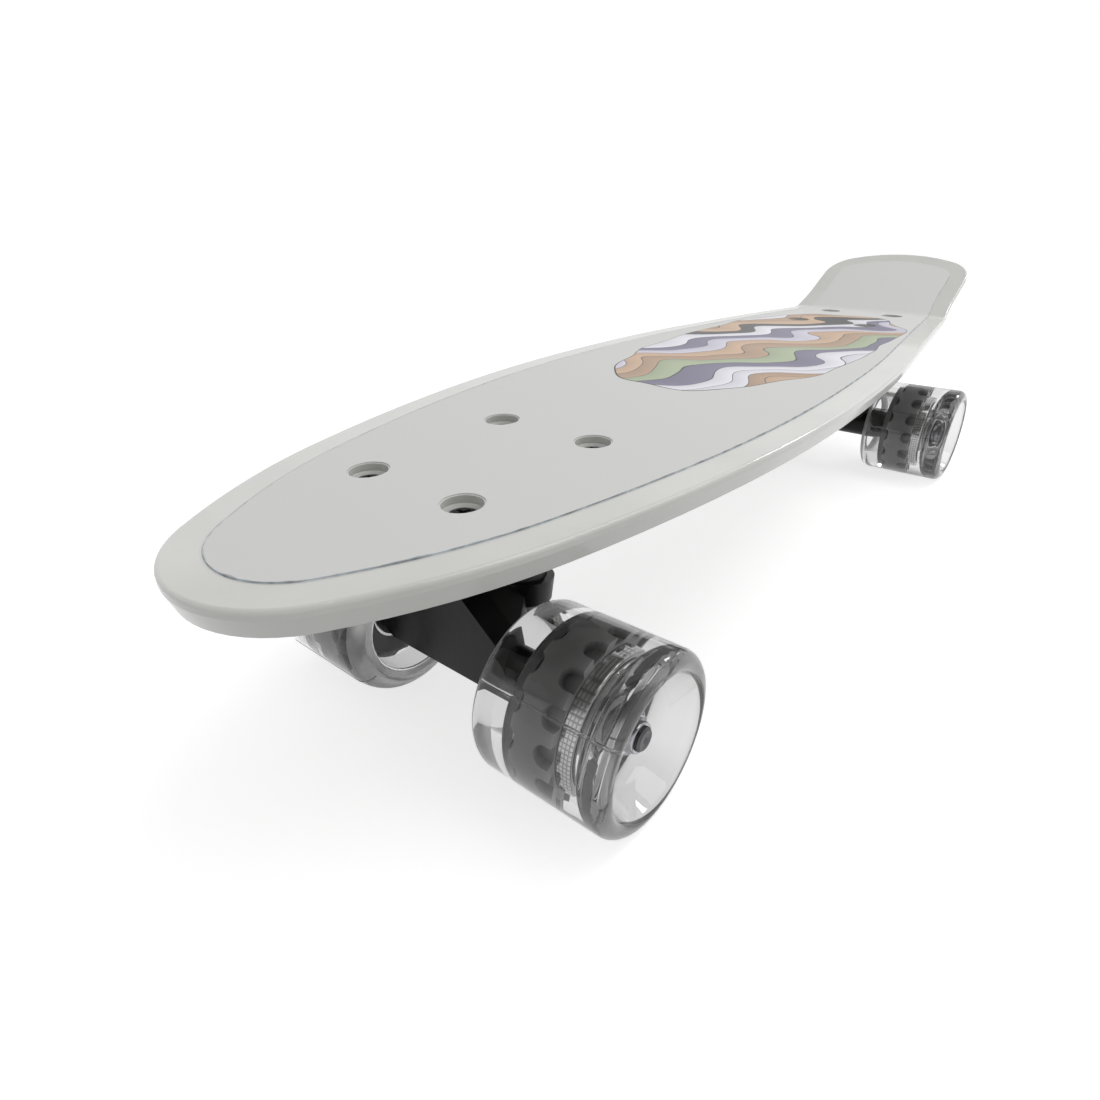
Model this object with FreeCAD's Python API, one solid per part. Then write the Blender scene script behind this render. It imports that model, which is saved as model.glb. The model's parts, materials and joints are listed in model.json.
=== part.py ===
import FreeCAD, Part
import os
from math import acos, atan2, cos, pi, radians, sin, sqrt

# Cruiser skateboard: a ribbed plastic board on two kingpin trucks with four cast wheels.
# Millimetres. +X points to the nose and +Z up. The wheels stand on Z = 0.

# Board outline, seen from above. The flank's fullness is 0 for a straight flank and 1 for one that
# bends all the way to the neck.
board_length = 559.5
board_width = 150.8
nose_tip_radius = 37.7
nose_tip_turn = radians(55.9)
nose_shoulder_turn = radians(75.6)
nose_side_radius = 594.1
flank_fullness = 0.6722
neck_from_tail = 57.8
neck_radius = 150.0
tail_width = 98.4
tail_corner_radius = 22.0
tail_end_radius = 90.0

# Board seen from the side: a long arch, then a straight kick
arch_radius = 6200.0
crown_from_nose = 309.8
kick_reach = 73.4
kick_angle = radians(25.0)
kink_radius = 15.0
pad_depth = 16.9

# Board moulding
edge_thickness = 8.0
edge_round = 1.2
draft_height = 5.5
draft_inset = 1.8
skin_thickness = 3.6
wall_thickness = 4.5
rib_thickness = 2.4
rib_pitch_along = 26.0
rib_pitch_across = 21.0
smallest_cell = 150.0
pad_margin = 3.0

# Printed film on the board
film_thickness = 0.4
film_margin = 11.0
film_hole_margin = 0.5

# Mounting screws, their nuts and their sunk holes
hole_spacing_along = 60.0
hole_spacing_across = 41.3
screw_diameter = 4.8
screw_length = 22.0
screw_head_diameter = 8.8
screw_head_height = 2.8
screw_head_rounding = 1.2
screw_seat_depth = 8.0
sink_diameter = 12.1
sink_straight_depth = 2.2
sink_cone_depth = 5.0
mounting_nut_across_flats = 9.5
mounting_nut_height = 5.5
mounting_nut_chamfer = 0.6

# Truck stance
wheelbase = 368.6
front_axle_from_nose = 87.3
pattern_setback = 13.0
truck_height = 54.0

# Baseplate
baseplate_end_margin = 9.5
baseplate_side_margin = 6.85
flange_thickness = 6.0
baseplate_corner = 7.0
kingpin_boss_seat_radius = 13.0
kingpin_boss_root_radius = 16.5
pivot_boss_wall = 3.5
cheek_thickness = 3.5
cheek_depth = 7.0

# Steering line, from the ring centre up to the pivot. The ring centre is measured from the axle,
# and so is the pivot's reach. The pivot's depth is measured from the baseplate's top.
ring_back = 24.0
ring_rise = 16.5
pivot_reach = 4.0
pivot_depth = 13.5

# Kingpin stack, measured along the kingpin from the ring centre
kingpin_lean = radians(11.0)
kingpin_diameter = 9.5
kingpin_tail = 2.2
kingpin_head_height = 6.0
kingpin_head_depth = 2.6
kingpin_across_flats = 14.3
kingpin_nut_height = 9.0
kingpin_chamfer = 0.9
ring_thickness = 8.4
ring_radius = 14.8
ring_bore_radius = 7.2
ring_seat_depth = 1.2
bushing_radius = 11.7
bushing_waist = 0.8
bushing_edge = 0.8
bushing_waist_rounding = 10.0
upper_bushing_height = 14.0
lower_bushing_height = 11.2
lower_bushing_small_radius = 9.2
washer_overhang = 0.3
washer_thickness = 1.6

# Hanger
hanger_width = 76.0
bar_radius = 9.5
bar_end_radius = 8.0
bar_end_length = 6.0
facet_reach = 8.0
facet_drop = 4.5
wing_depth = 2.0
wing_shoulder = (29.0, 4.5)
wing_waist = (21.5, 14.5)
wing_top = (6.0, 27.0)
wing_rounding = 4.0
wing_shoulder_rounding = 2.0
wing_waist_rounding = 6.0
neck_inset = 2.3
neck_corner = 3.0
stem_radius = 5.5
stem_root_radius = 8.0
stem_straight = 10.0
stem_cone = 9.0
stack_clearance = 1.6

# Pivot cup
cup_wall = 3.0
cup_depth = 8.0

# Axle and what is threaded on it
axle_diameter = 8.0
axle_tail = 1.3
axle_chamfer = 0.7
axle_nut_across_flats = 12.7
axle_nut_hex_height = 5.6
axle_nut_height = 8.0
axle_nut_collar_radius = 5.4
axle_nut_chamfer = 0.8
axle_nut_dome = 1.2
speed_washer_radius = 7.0
speed_washer_thickness = 1.0

# Bearings
bearing_diameter = 22.0
bearing_width = 7.0
bearing_spread = 10.0
outer_race_wall = 1.5
inner_race_wall = 1.9
shield_inset = 0.4
shield_thickness = 0.5
shield_gap = 0.25
spacer_wall = 1.1

# Wheels
wheel_diameter = 59.0
wheel_width = 50.5
wheel_overlap = 10.0
tread_rounding = 6.0
tyre_edge = 0.6
inner_recess_margin = 2.0
lip_width = 6.1
lip_rounding = 1.6
dish_foot_width = 5.5
dish_foot_rise = 1.5
dish_rounding = 7.0
dish_floor_rise = 1.0

# Wheel core
core_radius = 20.5
core_flange_setback = 6.0
drum_wall = 2.5
core_shoulder = 1.5
core_step = 3.0
core_step_width = 3.2
notch_count = 12
notch_width = 6.4
notch_length = 5.6
notch_depth = 3.4

# Fits
running_fit = 0.08
press_fit = 0.01
free_fit = 0.3

# Places worked out from the sizes
axle_z = wheel_diameter / 2
pad_z = axle_z + truck_height
nose_x = board_length / 2
tail_x = -board_length / 2
crown_x = nose_x - crown_from_nose
crown_z = pad_z + pad_depth
front_axle_x = nose_x - front_axle_from_nose
rear_axle_x = front_axle_x - wheelbase
bearing_start = hanger_width / 2 + speed_washer_thickness
second_bearing = bearing_start + bearing_width + bearing_spread
bearing_end = second_bearing + bearing_width
seat_z = ring_thickness / 2 - ring_seat_depth
upper_stack = seat_z + upper_bushing_height + washer_thickness
lower_stack = seat_z + lower_bushing_height + washer_thickness
cup_radius = stem_radius + cup_wall
pivot_boss_radius = cup_radius + pivot_boss_wall
pivot_rise = truck_height - pivot_depth
baseplate_length = hole_spacing_along + 2 * baseplate_end_margin
baseplate_width = hole_spacing_across + 2 * baseplate_side_margin
neck_half_width = ring_radius - neck_inset
wheel_inner_face = hanger_width / 2 - wheel_overlap
wheel_outer_face = wheel_inner_face + wheel_width
drum_radius = bearing_diameter / 2 + drum_wall
core_flange = bearing_end - core_flange_setback
core_step_radius = core_radius - core_step
core_band_start = bearing_start + core_step_width
inner_recess_radius = core_step_radius + inner_recess_margin
lip_radius = wheel_diameter / 2 - lip_width
dish_foot_radius = drum_radius + dish_foot_width
dish_floor = bearing_end + dish_floor_rise


def vec(x, y, z):
    """Returns a point or direction."""
    return FreeCAD.Vector(x, y, z)


UP = vec(0, 0, 1)
ring_centre = vec(-ring_back, 0, ring_rise)
pivot_point = vec(pivot_reach, 0, pivot_rise)
kingpin_axis = vec(-sin(kingpin_lean), 0, cos(kingpin_lean))
steer_axis = (pivot_point - ring_centre).normalize()


def rounded_loop(corners):
    """Closed wire in the XY plane through (x, y, radius) corners, each rounded by its radius."""
    starts = []
    ends = []
    edges = []
    count = len(corners)
    for i, (x, y, radius) in enumerate(corners):
        here = vec(x, y, 0)
        back = vec(corners[i - 1][0], corners[i - 1][1], 0) - here
        ahead = vec(corners[(i + 1) % count][0], corners[(i + 1) % count][1], 0) - here
        back.normalize()
        ahead.normalize()
        half = back.getAngle(ahead) / 2
        reach = radius * cos(half) / sin(half)
        starts.append(here + back * reach)
        ends.append(here + ahead * reach)
        if radius > 0:
            bisector = (back + ahead).normalize()
            middle = here + bisector * (radius / sin(half) - radius)
            edges.append(Part.Arc(starts[i], middle, ends[i]).toShape())
    for i in range(count):
        gap_start = ends[i - 1]
        gap_end = starts[i]
        if gap_start.distanceToPoint(gap_end) > 1e-6:
            edges.append(Part.makeLine(gap_start, gap_end))
    return Part.Wire(Part.__sortEdges__(edges))


def prism(wire, bottom, top):
    """Upright prism on a flat wire, between two heights."""
    solid = Part.Face(wire).extrude(UP * (top - bottom))
    solid.translate(UP * bottom)
    return solid


def placed(shape, origin, direction):
    """Turns a shape built along +Z to a direction and moves its origin."""
    moved = shape.copy()
    moved.Placement = FreeCAD.Placement(origin, FreeCAD.Rotation(UP, direction)).multiply(moved.Placement)
    return moved


def turned(corners):
    """Solid of revolution about Z from (radius, height, rounding) corners."""
    wire = rounded_loop(corners)
    wire.rotate(vec(0, 0, 0), vec(1, 0, 0), 90)
    return Part.Face(wire).revolve(vec(0, 0, 0), UP, 360)


def rod(radius, start, end, direction=UP, origin=None):
    """Cylinder along a direction, between two distances from an origin."""
    base = origin if origin is not None else vec(0, 0, 0)
    return Part.makeCylinder(radius, end - start, base + direction * start, direction)


def block(x0, x1, y0, y1, z0, z1):
    """Box between pairs of coordinates."""
    return Part.makeBox(x1 - x0, y1 - y0, z1 - z0, vec(x0, y0, z0))


def hexagon(across_flats, start, end, chamfer):
    """Hexagonal prism along Z whose corners are turned off at both ends."""
    corner = across_flats / sqrt(3)
    points = [vec(corner * cos(pi * i / 3), corner * sin(pi * i / 3), start) for i in range(7)]
    bar = Part.Face(Part.makePolygon(points)).extrude(UP * (end - start))
    barrel = turned([(0, start, 0), (corner - chamfer, start, 0), (corner, start + chamfer / 2, 0),
                     (corner, end - chamfer / 2, 0), (corner - chamfer, end, 0), (0, end, 0)])
    return bar.common(barrel)


# Board

def arch_height(x):
    """Height of the board's top along its arch."""
    return crown_z - arch_radius + sqrt(arch_radius ** 2 - (x - crown_x) ** 2)


def half_outline():
    """Edges of the outline's +Y half, from the nose tip to the middle of the tail end."""
    edges = []
    x, y, start = nose_x, 0.0, 0.0
    rise = board_width / 2 - nose_tip_radius * sin(nose_tip_turn)
    rise -= nose_side_radius * (1 - sin(nose_shoulder_turn))
    shoulder_radius = rise / (sin(nose_shoulder_turn) - sin(nose_tip_turn))
    bends = [(nose_tip_radius, nose_tip_turn), (shoulder_radius, nose_shoulder_turn),
             (nose_side_radius, pi / 2)]
    for radius, end in bends:
        centre = vec(x - radius * cos(start), y - radius * sin(start), 0)
        points = [centre + vec(cos(t), sin(t), 0) * radius for t in (start, (start + end) / 2, end)]
        edges.append(Part.Arc(*points).toShape())
        x, y, start = points[-1].x, points[-1].y, end

    # The flank arc runs off on a straight line to the neck, which is rounded into the tail's side
    neck = vec(tail_x + neck_from_tail, tail_width / 2, 0)
    run, drop = x - neck.x, y - neck.y
    flank_radius = flank_fullness * (run ** 2 + drop ** 2) / (2 * drop)
    flank_centre = vec(x, y - flank_radius, 0)
    to_neck = neck - flank_centre
    tangent_angle = atan2(to_neck.y, to_neck.x) - acos(flank_radius / to_neck.Length)
    leave = flank_centre + vec(cos(tangent_angle), sin(tangent_angle), 0) * flank_radius
    half_angle = (pi / 2 + tangent_angle) / 2
    middle = flank_centre + vec(cos(half_angle), sin(half_angle), 0) * flank_radius
    edges.append(Part.Arc(vec(x, y, 0), middle, leave).toShape())
    slope = (leave - neck).normalize()
    tailward = vec(-1, 0, 0)
    half = slope.getAngle(tailward) / 2
    reach = neck_radius * cos(half) / sin(half)
    neck_in = neck + slope * reach
    neck_out = neck + tailward * reach
    bow = (slope + tailward).normalize()
    neck_middle = neck + bow * (neck_radius / sin(half) - neck_radius)
    edges.append(Part.makeLine(leave, neck_in))
    edges.append(Part.Arc(neck_in, neck_middle, neck_out).toShape())

    # Tail corner, tangent to the side and to the bowed end
    end_centre = vec(tail_x + tail_end_radius, 0, 0)
    corner_y = tail_width / 2 - tail_corner_radius
    between = tail_end_radius - tail_corner_radius
    corner = vec(end_centre.x - sqrt(between ** 2 - corner_y ** 2), corner_y, 0)
    outward = (corner - end_centre).normalize()
    corner_top = corner + vec(0, tail_corner_radius, 0)
    corner_end = corner + outward * tail_corner_radius
    corner_mid = corner + (outward + vec(0, 1, 0)).normalize() * tail_corner_radius
    edges.append(Part.makeLine(neck_out, corner_top))
    edges.append(Part.Arc(corner_top, corner_mid, corner_end).toShape())
    return edges, corner_end


def board_outline():
    """Closed outline of the board in the XY plane."""
    edges, corner_end = half_outline()
    mirrored = [edge.mirror(vec(0, 0, 0), vec(0, 1, 0)) for edge in edges]
    opposite = vec(corner_end.x, -corner_end.y, 0)
    tail_end = Part.Arc(corner_end, vec(tail_x, 0, 0), opposite).toShape()
    return Part.Wire(Part.__sortEdges__(edges + mirrored + [tail_end]))


def side_curve(offset):
    """Edges of the board's side curve, raised square to itself by an offset, nose first."""
    arch_centre = vec(crown_x, 0, crown_z - arch_radius)
    kink = vec(tail_x + kick_reach, 0, arch_height(tail_x + kick_reach))
    along = vec(-cos(kick_angle), 0, sin(kick_angle))
    normal = vec(sin(kick_angle), 0, cos(kick_angle))
    start = kink + normal * kink_radius - arch_centre
    b = start.dot(along)
    c = start.Length ** 2 - (arch_radius + kink_radius) ** 2
    bend_centre = kink + normal * kink_radius + along * (sqrt(b * b - c) - b)
    bend_up = (bend_centre - arch_centre).normalize()
    radius = arch_radius + offset
    front = nose_x + edge_thickness
    front_point = vec(front, 0, arch_centre.z + sqrt(radius ** 2 - (front - crown_x) ** 2))
    arch_end = arch_centre + bend_up * radius
    middle_x = (front + arch_end.x) / 2
    arch_middle = vec(middle_x, 0, arch_centre.z + sqrt(radius ** 2 - (middle_x - crown_x) ** 2))
    bend_radius = kink_radius - offset
    bend_middle = bend_centre - (bend_up + normal).normalize() * bend_radius
    bend_end = bend_centre - normal * bend_radius
    kick_end = bend_end + along * (kick_reach / cos(kick_angle) + edge_thickness)
    edges = [Part.Arc(front_point, arch_middle, arch_end).toShape(),
             Part.Arc(arch_end, bend_middle, bend_end).toShape(),
             Part.makeLine(bend_end, kick_end)]
    return edges, front_point, kick_end


def slab(high, low):
    """Full-width slab that follows the board's side curve between two offsets."""
    upper, upper_front, upper_end = side_curve(high)
    lower, lower_front, lower_end = side_curve(low)
    edges = upper + [Part.makeLine(upper_end, lower_end)] + lower + [Part.makeLine(lower_front, upper_front)]
    face = Part.Face(Part.Wire(Part.__sortEdges__(edges)))
    face.translate(vec(0, -board_width, 0))
    return face.extrude(vec(0, 2 * board_width, 0))


def rim_edges(solid, sign):
    """Edges where the board's upright side meets its top (sign 1) or its underside (sign -1)."""
    found = []
    for edge in solid.Edges:
        slopes = []
        for face in solid.ancestorsOfType(edge, Part.Face):
            u0, u1, v0, v1 = face.ParameterRange
            slopes.append(face.normalAt((u0 + u1) / 2, (v0 + v1) / 2).z)
        upright = any(abs(slope) < 0.01 for slope in slopes)
        capped = any(slope * sign > 0.5 for slope in slopes)
        if upright and capped:
            found.append(edge)
    return found


def pattern_holes(axle_x, toward):
    """Centres of one truck's four screw holes in plan."""
    centre = axle_x - toward * pattern_setback
    return [(centre + sx * hole_spacing_along / 2, sy * hole_spacing_across / 2)
            for sx in (-1, 1) for sy in (-1, 1)]


def truck_pad(axle_x, toward, margin, bottom, top):
    """Upright block under the board that a truck's baseplate stands against."""
    centre = axle_x - toward * pattern_setback
    half_x = baseplate_length / 2 + margin
    half_y = baseplate_width / 2 + margin
    radius = baseplate_corner + margin
    loop = rounded_loop([(centre - half_x, -half_y, radius), (centre + half_x, -half_y, radius),
                         (centre + half_x, half_y, radius), (centre - half_x, half_y, radius)])
    return prism(loop, bottom, top)


def rib_cells(outline):
    """Hollows of the underside: the space inside the wall, less the ribs and the truck pads."""
    hollow = slab(-skin_thickness, -2 * edge_thickness)
    inner = outline.makeOffset2D(-wall_thickness)
    hollow = hollow.common(prism(inner, 0, 2 * crown_z))
    keep = []
    half_rib = rib_thickness / 2
    rows = int(board_width / 2 / rib_pitch_across) + 1
    for i in range(-rows, rows + 1):
        y = i * rib_pitch_across
        keep.append(block(tail_x, nose_x, y - half_rib, y + half_rib, 0, 2 * crown_z))
    columns = int(board_length / 2 / rib_pitch_along) + 1
    for i in range(-columns, columns + 1):
        x = (i + 0.5) * rib_pitch_along
        keep.append(block(x - half_rib, x + half_rib, -board_width, board_width, 0, 2 * crown_z))
    for axle_x, toward in ((front_axle_x, 1), (rear_axle_x, -1)):
        keep.append(truck_pad(axle_x, toward, pad_margin, 0, 2 * crown_z))
    hollow = hollow.cut(keep)
    return [cell for cell in hollow.Solids if cell.Volume > smallest_cell]


def sunk_hole(x, y):
    """Tool for one stepped screw hole, from above the board down through its pad."""
    top = arch_height(x)
    seat = top - screw_seat_depth
    head_radius = screw_head_diameter / 2 + free_fit
    shank_radius = screw_diameter / 2 + free_fit
    sink_radius = sink_diameter / 2
    tool = turned([(0, pad_z - 1, 0), (shank_radius, pad_z - 1, 0), (shank_radius, seat, 0),
                   (head_radius, seat, 0), (head_radius, top - sink_cone_depth, 0),
                   (sink_radius, top - sink_straight_depth, 0), (sink_radius, top + 2, 0), (0, top + 2, 0)])
    tool.translate(vec(x, y, 0))
    return tool


def make_board(outline):
    """Moulded board: rounded rim, drafted wall, ribbed underside, two truck pads, eight holes."""
    board = slab(0, -edge_thickness).common(prism(outline, 0, 2 * crown_z))
    board = board.makeFillet(edge_round, rim_edges(board, 1))
    board = board.makeChamfer(draft_height, draft_inset, rim_edges(board, -1))
    board = board.cut(rib_cells(outline))
    under_skin = slab(-skin_thickness / 2, -pad_depth - edge_thickness)
    for axle_x, toward in ((front_axle_x, 1), (rear_axle_x, -1)):
        pad = truck_pad(axle_x, toward, pad_margin, pad_z, crown_z).common(under_skin)
        board = board.fuse(pad)
    holes = [sunk_hole(x, y) for axle_x, toward in ((front_axle_x, 1), (rear_axle_x, -1))
             for x, y in pattern_holes(axle_x, toward)]
    return board.cut(holes).removeSplitter()


def make_film(outline):
    """Thin film on the board's top, set in from the rim and pierced at the screw holes."""
    film = slab(film_thickness, 0).common(prism(outline.makeOffset2D(-film_margin), 0, 2 * crown_z))
    radius = sink_diameter / 2 + film_hole_margin
    holes = []
    for axle_x, toward in ((front_axle_x, 1), (rear_axle_x, -1)):
        for x, y in pattern_holes(axle_x, toward):
            holes.append(rod(radius, pad_z, 2 * crown_z, origin=vec(x, y, 0)))
    return film.cut(holes)


def make_mounting_screws(axle_x, toward):
    """Four pan head screws in their sunk holes."""
    screws = []
    for x, y in pattern_holes(axle_x, toward):
        seat = arch_height(x) - screw_seat_depth
        head = screw_head_diameter / 2
        shank = screw_diameter / 2
        screw = turned([(0, -screw_length, 0), (shank, -screw_length, 0), (shank, 0, 0), (head, 0, 0),
                        (head, screw_head_height, screw_head_rounding), (0, screw_head_height, 0)])
        screw.translate(vec(x, y, seat))
        screws.append(screw)
    return Part.makeCompound(screws)


def make_mounting_nuts(axle_x, toward):
    """Four lock nuts under the baseplate's flange."""
    top = pad_z - flange_thickness
    nuts = []
    for x, y in pattern_holes(axle_x, toward):
        nut = hexagon(mounting_nut_across_flats, top - mounting_nut_height, top, mounting_nut_chamfer)
        nut = nut.cut(rod(screw_diameter / 2 + press_fit, top - 2 * mounting_nut_height, top + 1))
        nut.translate(vec(x, y, 0))
        nuts.append(nut)
    return Part.makeCompound(nuts)


# Truck pieces, built with the axle at the origin and the pivot towards +X

def make_baseplate():
    """Cast baseplate: flange, tilted kingpin boss, pivot boss and two cheeks between them."""
    half_x = baseplate_length / 2
    half_y = baseplate_width / 2
    centre = -pattern_setback
    corners = [(-1, -1), (1, -1), (1, 1), (-1, 1)]
    loop = rounded_loop([(centre + sx * half_x, sy * half_y, baseplate_corner) for sx, sy in corners])
    under = truck_height - flange_thickness
    plate = prism(loop, under, truck_height)
    below = prism(loop, 0, truck_height - flange_thickness / 2)
    boss = turned([(0, upper_stack, 0), (kingpin_boss_seat_radius, upper_stack, 1.0),
                   (kingpin_boss_root_radius, truck_height, 0), (0, truck_height, 0)])
    boss = placed(boss, ring_centre, kingpin_axis).common(below)
    pivot_boss = rod(pivot_boss_radius, -cup_depth, pivot_boss_radius, steer_axis, pivot_point)
    pivot_boss = pivot_boss.common(below)
    plate = plate.fuse([boss, pivot_boss])
    boss_x = ring_centre.x - sin(kingpin_lean) * upper_stack
    cheek_half = pivot_boss_radius
    for side in (-1, 1):
        outer = side * cheek_half
        inner = side * (cheek_half - cheek_thickness)
        plate = plate.fuse(block(boss_x, pivot_reach, min(outer, inner), max(outer, inner),
                                 under - cheek_depth, truck_height - flange_thickness / 2))
    above = 2 * truck_height
    head_room = kingpin_across_flats / sqrt(3) + free_fit
    tools = [rod(kingpin_diameter / 2 + press_fit, 0, above, kingpin_axis, ring_centre),
             rod(head_room, kingpin_head_floor(), above, kingpin_axis, ring_centre),
             rod(cup_radius + press_fit, -2 * cup_depth, cup_radius, steer_axis, pivot_point)]
    for sx, sy in corners:
        foot = vec(centre + sx * hole_spacing_along / 2, sy * hole_spacing_across / 2, 0)
        tools.append(rod(screw_diameter / 2 + free_fit, under - 1, truck_height + 1, origin=foot))
    return plate.cut(tools).removeSplitter()


def kingpin_head_floor():
    """Distance along the kingpin from the ring centre to the seat of its head."""
    face = (truck_height - ring_rise) / cos(kingpin_lean)
    return face - kingpin_head_depth - kingpin_head_height


def make_kingpin():
    """Kingpin with its hexagonal head let into the top of the baseplate."""
    floor = kingpin_head_floor()
    shank = rod(kingpin_diameter / 2, -lower_stack - kingpin_nut_height - kingpin_tail, floor)
    head = hexagon(kingpin_across_flats, floor, floor + kingpin_head_height, kingpin_chamfer)
    return placed(shank.fuse(head).removeSplitter(), ring_centre, kingpin_axis)


def make_kingpin_nut():
    """Lock nut with a round collar at the lower end of the kingpin."""
    top = -lower_stack
    collar_height = kingpin_nut_height / 4
    bottom = top - kingpin_nut_height
    nut = hexagon(kingpin_across_flats, bottom + collar_height, top, kingpin_chamfer)
    collar = rod(kingpin_across_flats / 2 - kingpin_chamfer, bottom, bottom + collar_height)
    nut = nut.fuse(collar).cut(rod(kingpin_diameter / 2 + press_fit, bottom - 1, top + 1))
    return placed(nut.removeSplitter(), ring_centre, kingpin_axis)


def make_bushing(start, end, start_radius, end_radius):
    """Cast bushing round the kingpin, drawn in a little at its waist."""
    bore = kingpin_diameter / 2 + free_fit
    waist = (start_radius + end_radius) / 2 - bushing_waist
    loop = [(bore, start, 0), (start_radius, start, bushing_edge),
            (waist, (start + end) / 2, bushing_waist_rounding),
            (end_radius, end, bushing_edge), (bore, end, 0)]
    return placed(turned(loop), ring_centre, kingpin_axis)


def make_kingpin_washers():
    """Round-edged washers at the far ends of the two bushings."""
    bore = kingpin_diameter / 2 + press_fit
    edge = washer_thickness * 0.4
    washers = []
    stacks = ((1, upper_stack, bushing_radius), (-1, lower_stack, lower_bushing_small_radius))
    for sign, stack, end_radius in stacks:
        radius = end_radius + washer_overhang
        far = sign * stack
        near = sign * (stack - washer_thickness)
        loop = [(bore, far, 0), (radius, far, edge), (radius, near, edge), (bore, near, 0)]
        washers.append(placed(turned(loop), ring_centre, kingpin_axis))
    return Part.makeCompound(washers)


def make_pivot_cup():
    """Soft cup in the baseplate that holds the round end of the hanger's stem."""
    bore = stem_radius + running_fit
    cup = rod(cup_radius, -cup_depth, cup_radius)
    hollow = rod(bore, -2 * cup_depth, 0).fuse(Part.makeSphere(bore))
    return placed(cup.cut(hollow), pivot_point, steer_axis)


def gable_corners():
    """Corners (y, z, rounding) of the hanger's wings, seen from the front."""
    shoulder_y, shoulder_z = wing_shoulder
    waist_y, waist_z = wing_waist
    top_y, top_z = wing_top
    right = [(shoulder_y, -facet_drop, 0), (shoulder_y, shoulder_z, wing_shoulder_rounding),
             (waist_y, waist_z, wing_waist_rounding), (top_y, top_z, wing_rounding)]
    left = [(-y, z, rounding) for y, z, rounding in reversed(right)]
    return left[-1:] + right + left[:-1]


def neck_root_corners():
    """Corners (y, z) of the neck's section where it enters the ring."""
    half_ring = ring_thickness / 2 * cos(kingpin_lean)
    low, high = ring_rise - half_ring, ring_rise + half_ring
    shallow = (high - low) / 3
    right = [(neck_half_width - neck_corner, low), (neck_half_width, low + shallow),
             (neck_half_width, high - shallow), (neck_half_width - neck_corner, high)]
    left = [(-y, z) for y, z in reversed(right)]
    return left[-1:] + right + left[:-1]


def make_hanger():
    """Cast hanger: axle bar with wings and a flat front, ring for the kingpin, stem for the pivot."""
    half = hanger_width / 2
    step = half - bar_end_length
    across = vec(0, 1, 0)
    bar = turned([(0, -half, 0), (bar_end_radius, -half, 0), (bar_radius, -step, 0),
                  (bar_radius, step, 0), (bar_end_radius, half, 0), (0, half, 0)])
    bar = placed(bar, vec(0, 0, 0), across)

    # Wings: a rounded gable across the bar, seen from the front, drawn back and in to the ring
    gable = gable_corners()
    wings = prism(rounded_loop(gable), -wing_depth, facet_reach)
    wings.rotate(vec(0, 0, 0), vec(1, 1, 1), 120)
    root = neck_root_corners()
    root_x = -ring_back + ring_radius / 2
    front_loop = Part.makePolygon([vec(-wing_depth, y, z) for y, z, _ in gable + gable[:1]])
    root_loop = Part.makePolygon([vec(root_x, y, z) for y, z in root + root[:1]])
    neck = Part.makeLoft([front_loop, root_loop], True, True)
    ring = rod(ring_radius, -ring_thickness / 2, ring_thickness / 2, kingpin_axis, ring_centre)
    stem = turned([(0, 0, 0), (stem_radius, 0, 0), (stem_radius, -stem_straight, 0),
                   (stem_root_radius, -stem_straight - stem_cone, 0), (0, -stem_straight - stem_cone, 0)])
    stem = placed(stem.fuse(Part.makeSphere(stem_radius)), pivot_point, steer_axis)

    # Room round the kingpin stack above and below the ring, and round the pivot boss
    keep_out = bushing_radius + stack_clearance
    rooms = [rod(keep_out, ring_thickness / 2, truck_height, kingpin_axis, ring_centre),
             rod(keep_out, -truck_height, -ring_thickness / 2, kingpin_axis, ring_centre),
             rod(pivot_boss_radius + stack_clearance, -cup_depth - stack_clearance, truck_height,
                 steer_axis, pivot_point)]
    body = bar.fuse([wings, neck]).cut(rooms)
    hanger = body.fuse([ring, stem.cut(rooms[:2])])
    front = block(facet_reach, 3 * facet_reach, -half, half, -2 * bar_radius, bar_radius)
    seat_radius = bushing_radius + free_fit
    tools = [front,
             rod(seat_radius, seat_z, ring_thickness, kingpin_axis, ring_centre),
             rod(seat_radius, -ring_thickness, -seat_z, kingpin_axis, ring_centre),
             rod(ring_bore_radius, -ring_thickness, ring_thickness, kingpin_axis, ring_centre),
             rod(axle_diameter / 2 + press_fit, -hanger_width, hanger_width, across)]
    return hanger.cut(tools).removeSplitter()


def make_axle():
    """Axle pressed through the hanger, long enough for both wheels and their nuts."""
    reach = bearing_end + speed_washer_thickness + axle_nut_height + axle_tail
    radius = axle_diameter / 2
    neck = reach - axle_chamfer
    tip = radius - axle_chamfer
    bar = turned([(0, -reach, 0), (tip, -reach, 0), (radius, -neck, 0),
                  (radius, neck, 0), (tip, reach, 0), (0, reach, 0)])
    return placed(bar, vec(0, 0, 0), vec(0, 1, 0))


# Wheel pieces, built along Z from the middle of the board outwards

def make_tyre():
    """Cast tyre: rounded tread, flat inner ring with a recess, dished outer side."""
    radius = wheel_diameter / 2
    return turned([(inner_recess_radius, wheel_inner_face, tyre_edge),
                   (radius, wheel_inner_face, tread_rounding),
                   (radius, wheel_outer_face, tread_rounding),
                   (lip_radius, wheel_outer_face, lip_rounding),
                   (dish_foot_radius, dish_floor + dish_foot_rise, dish_rounding),
                   (drum_radius, dish_floor, 0), (drum_radius, core_flange, 0), (core_radius, core_flange, 0),
                   (core_radius, core_band_start, 0), (core_step_radius, core_band_start, 0),
                   (core_step_radius, bearing_start, 0), (inner_recess_radius, bearing_start, 0)])


def core_notch(flange, inwards):
    """Tool for one notch in the core's band: open at a flange, round where it ends."""
    half = notch_width / 2
    bottom = core_radius - notch_depth
    reach = flange + inwards * (notch_length - half)
    round_end = rod(half, bottom, 2 * core_radius, vec(1, 0, 0), vec(0, 0, reach))
    mouth = flange - inwards
    low, high = min(reach, mouth), max(reach, mouth)
    return round_end.fuse(block(bottom, 2 * core_radius, -half, half, low, high))


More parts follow.
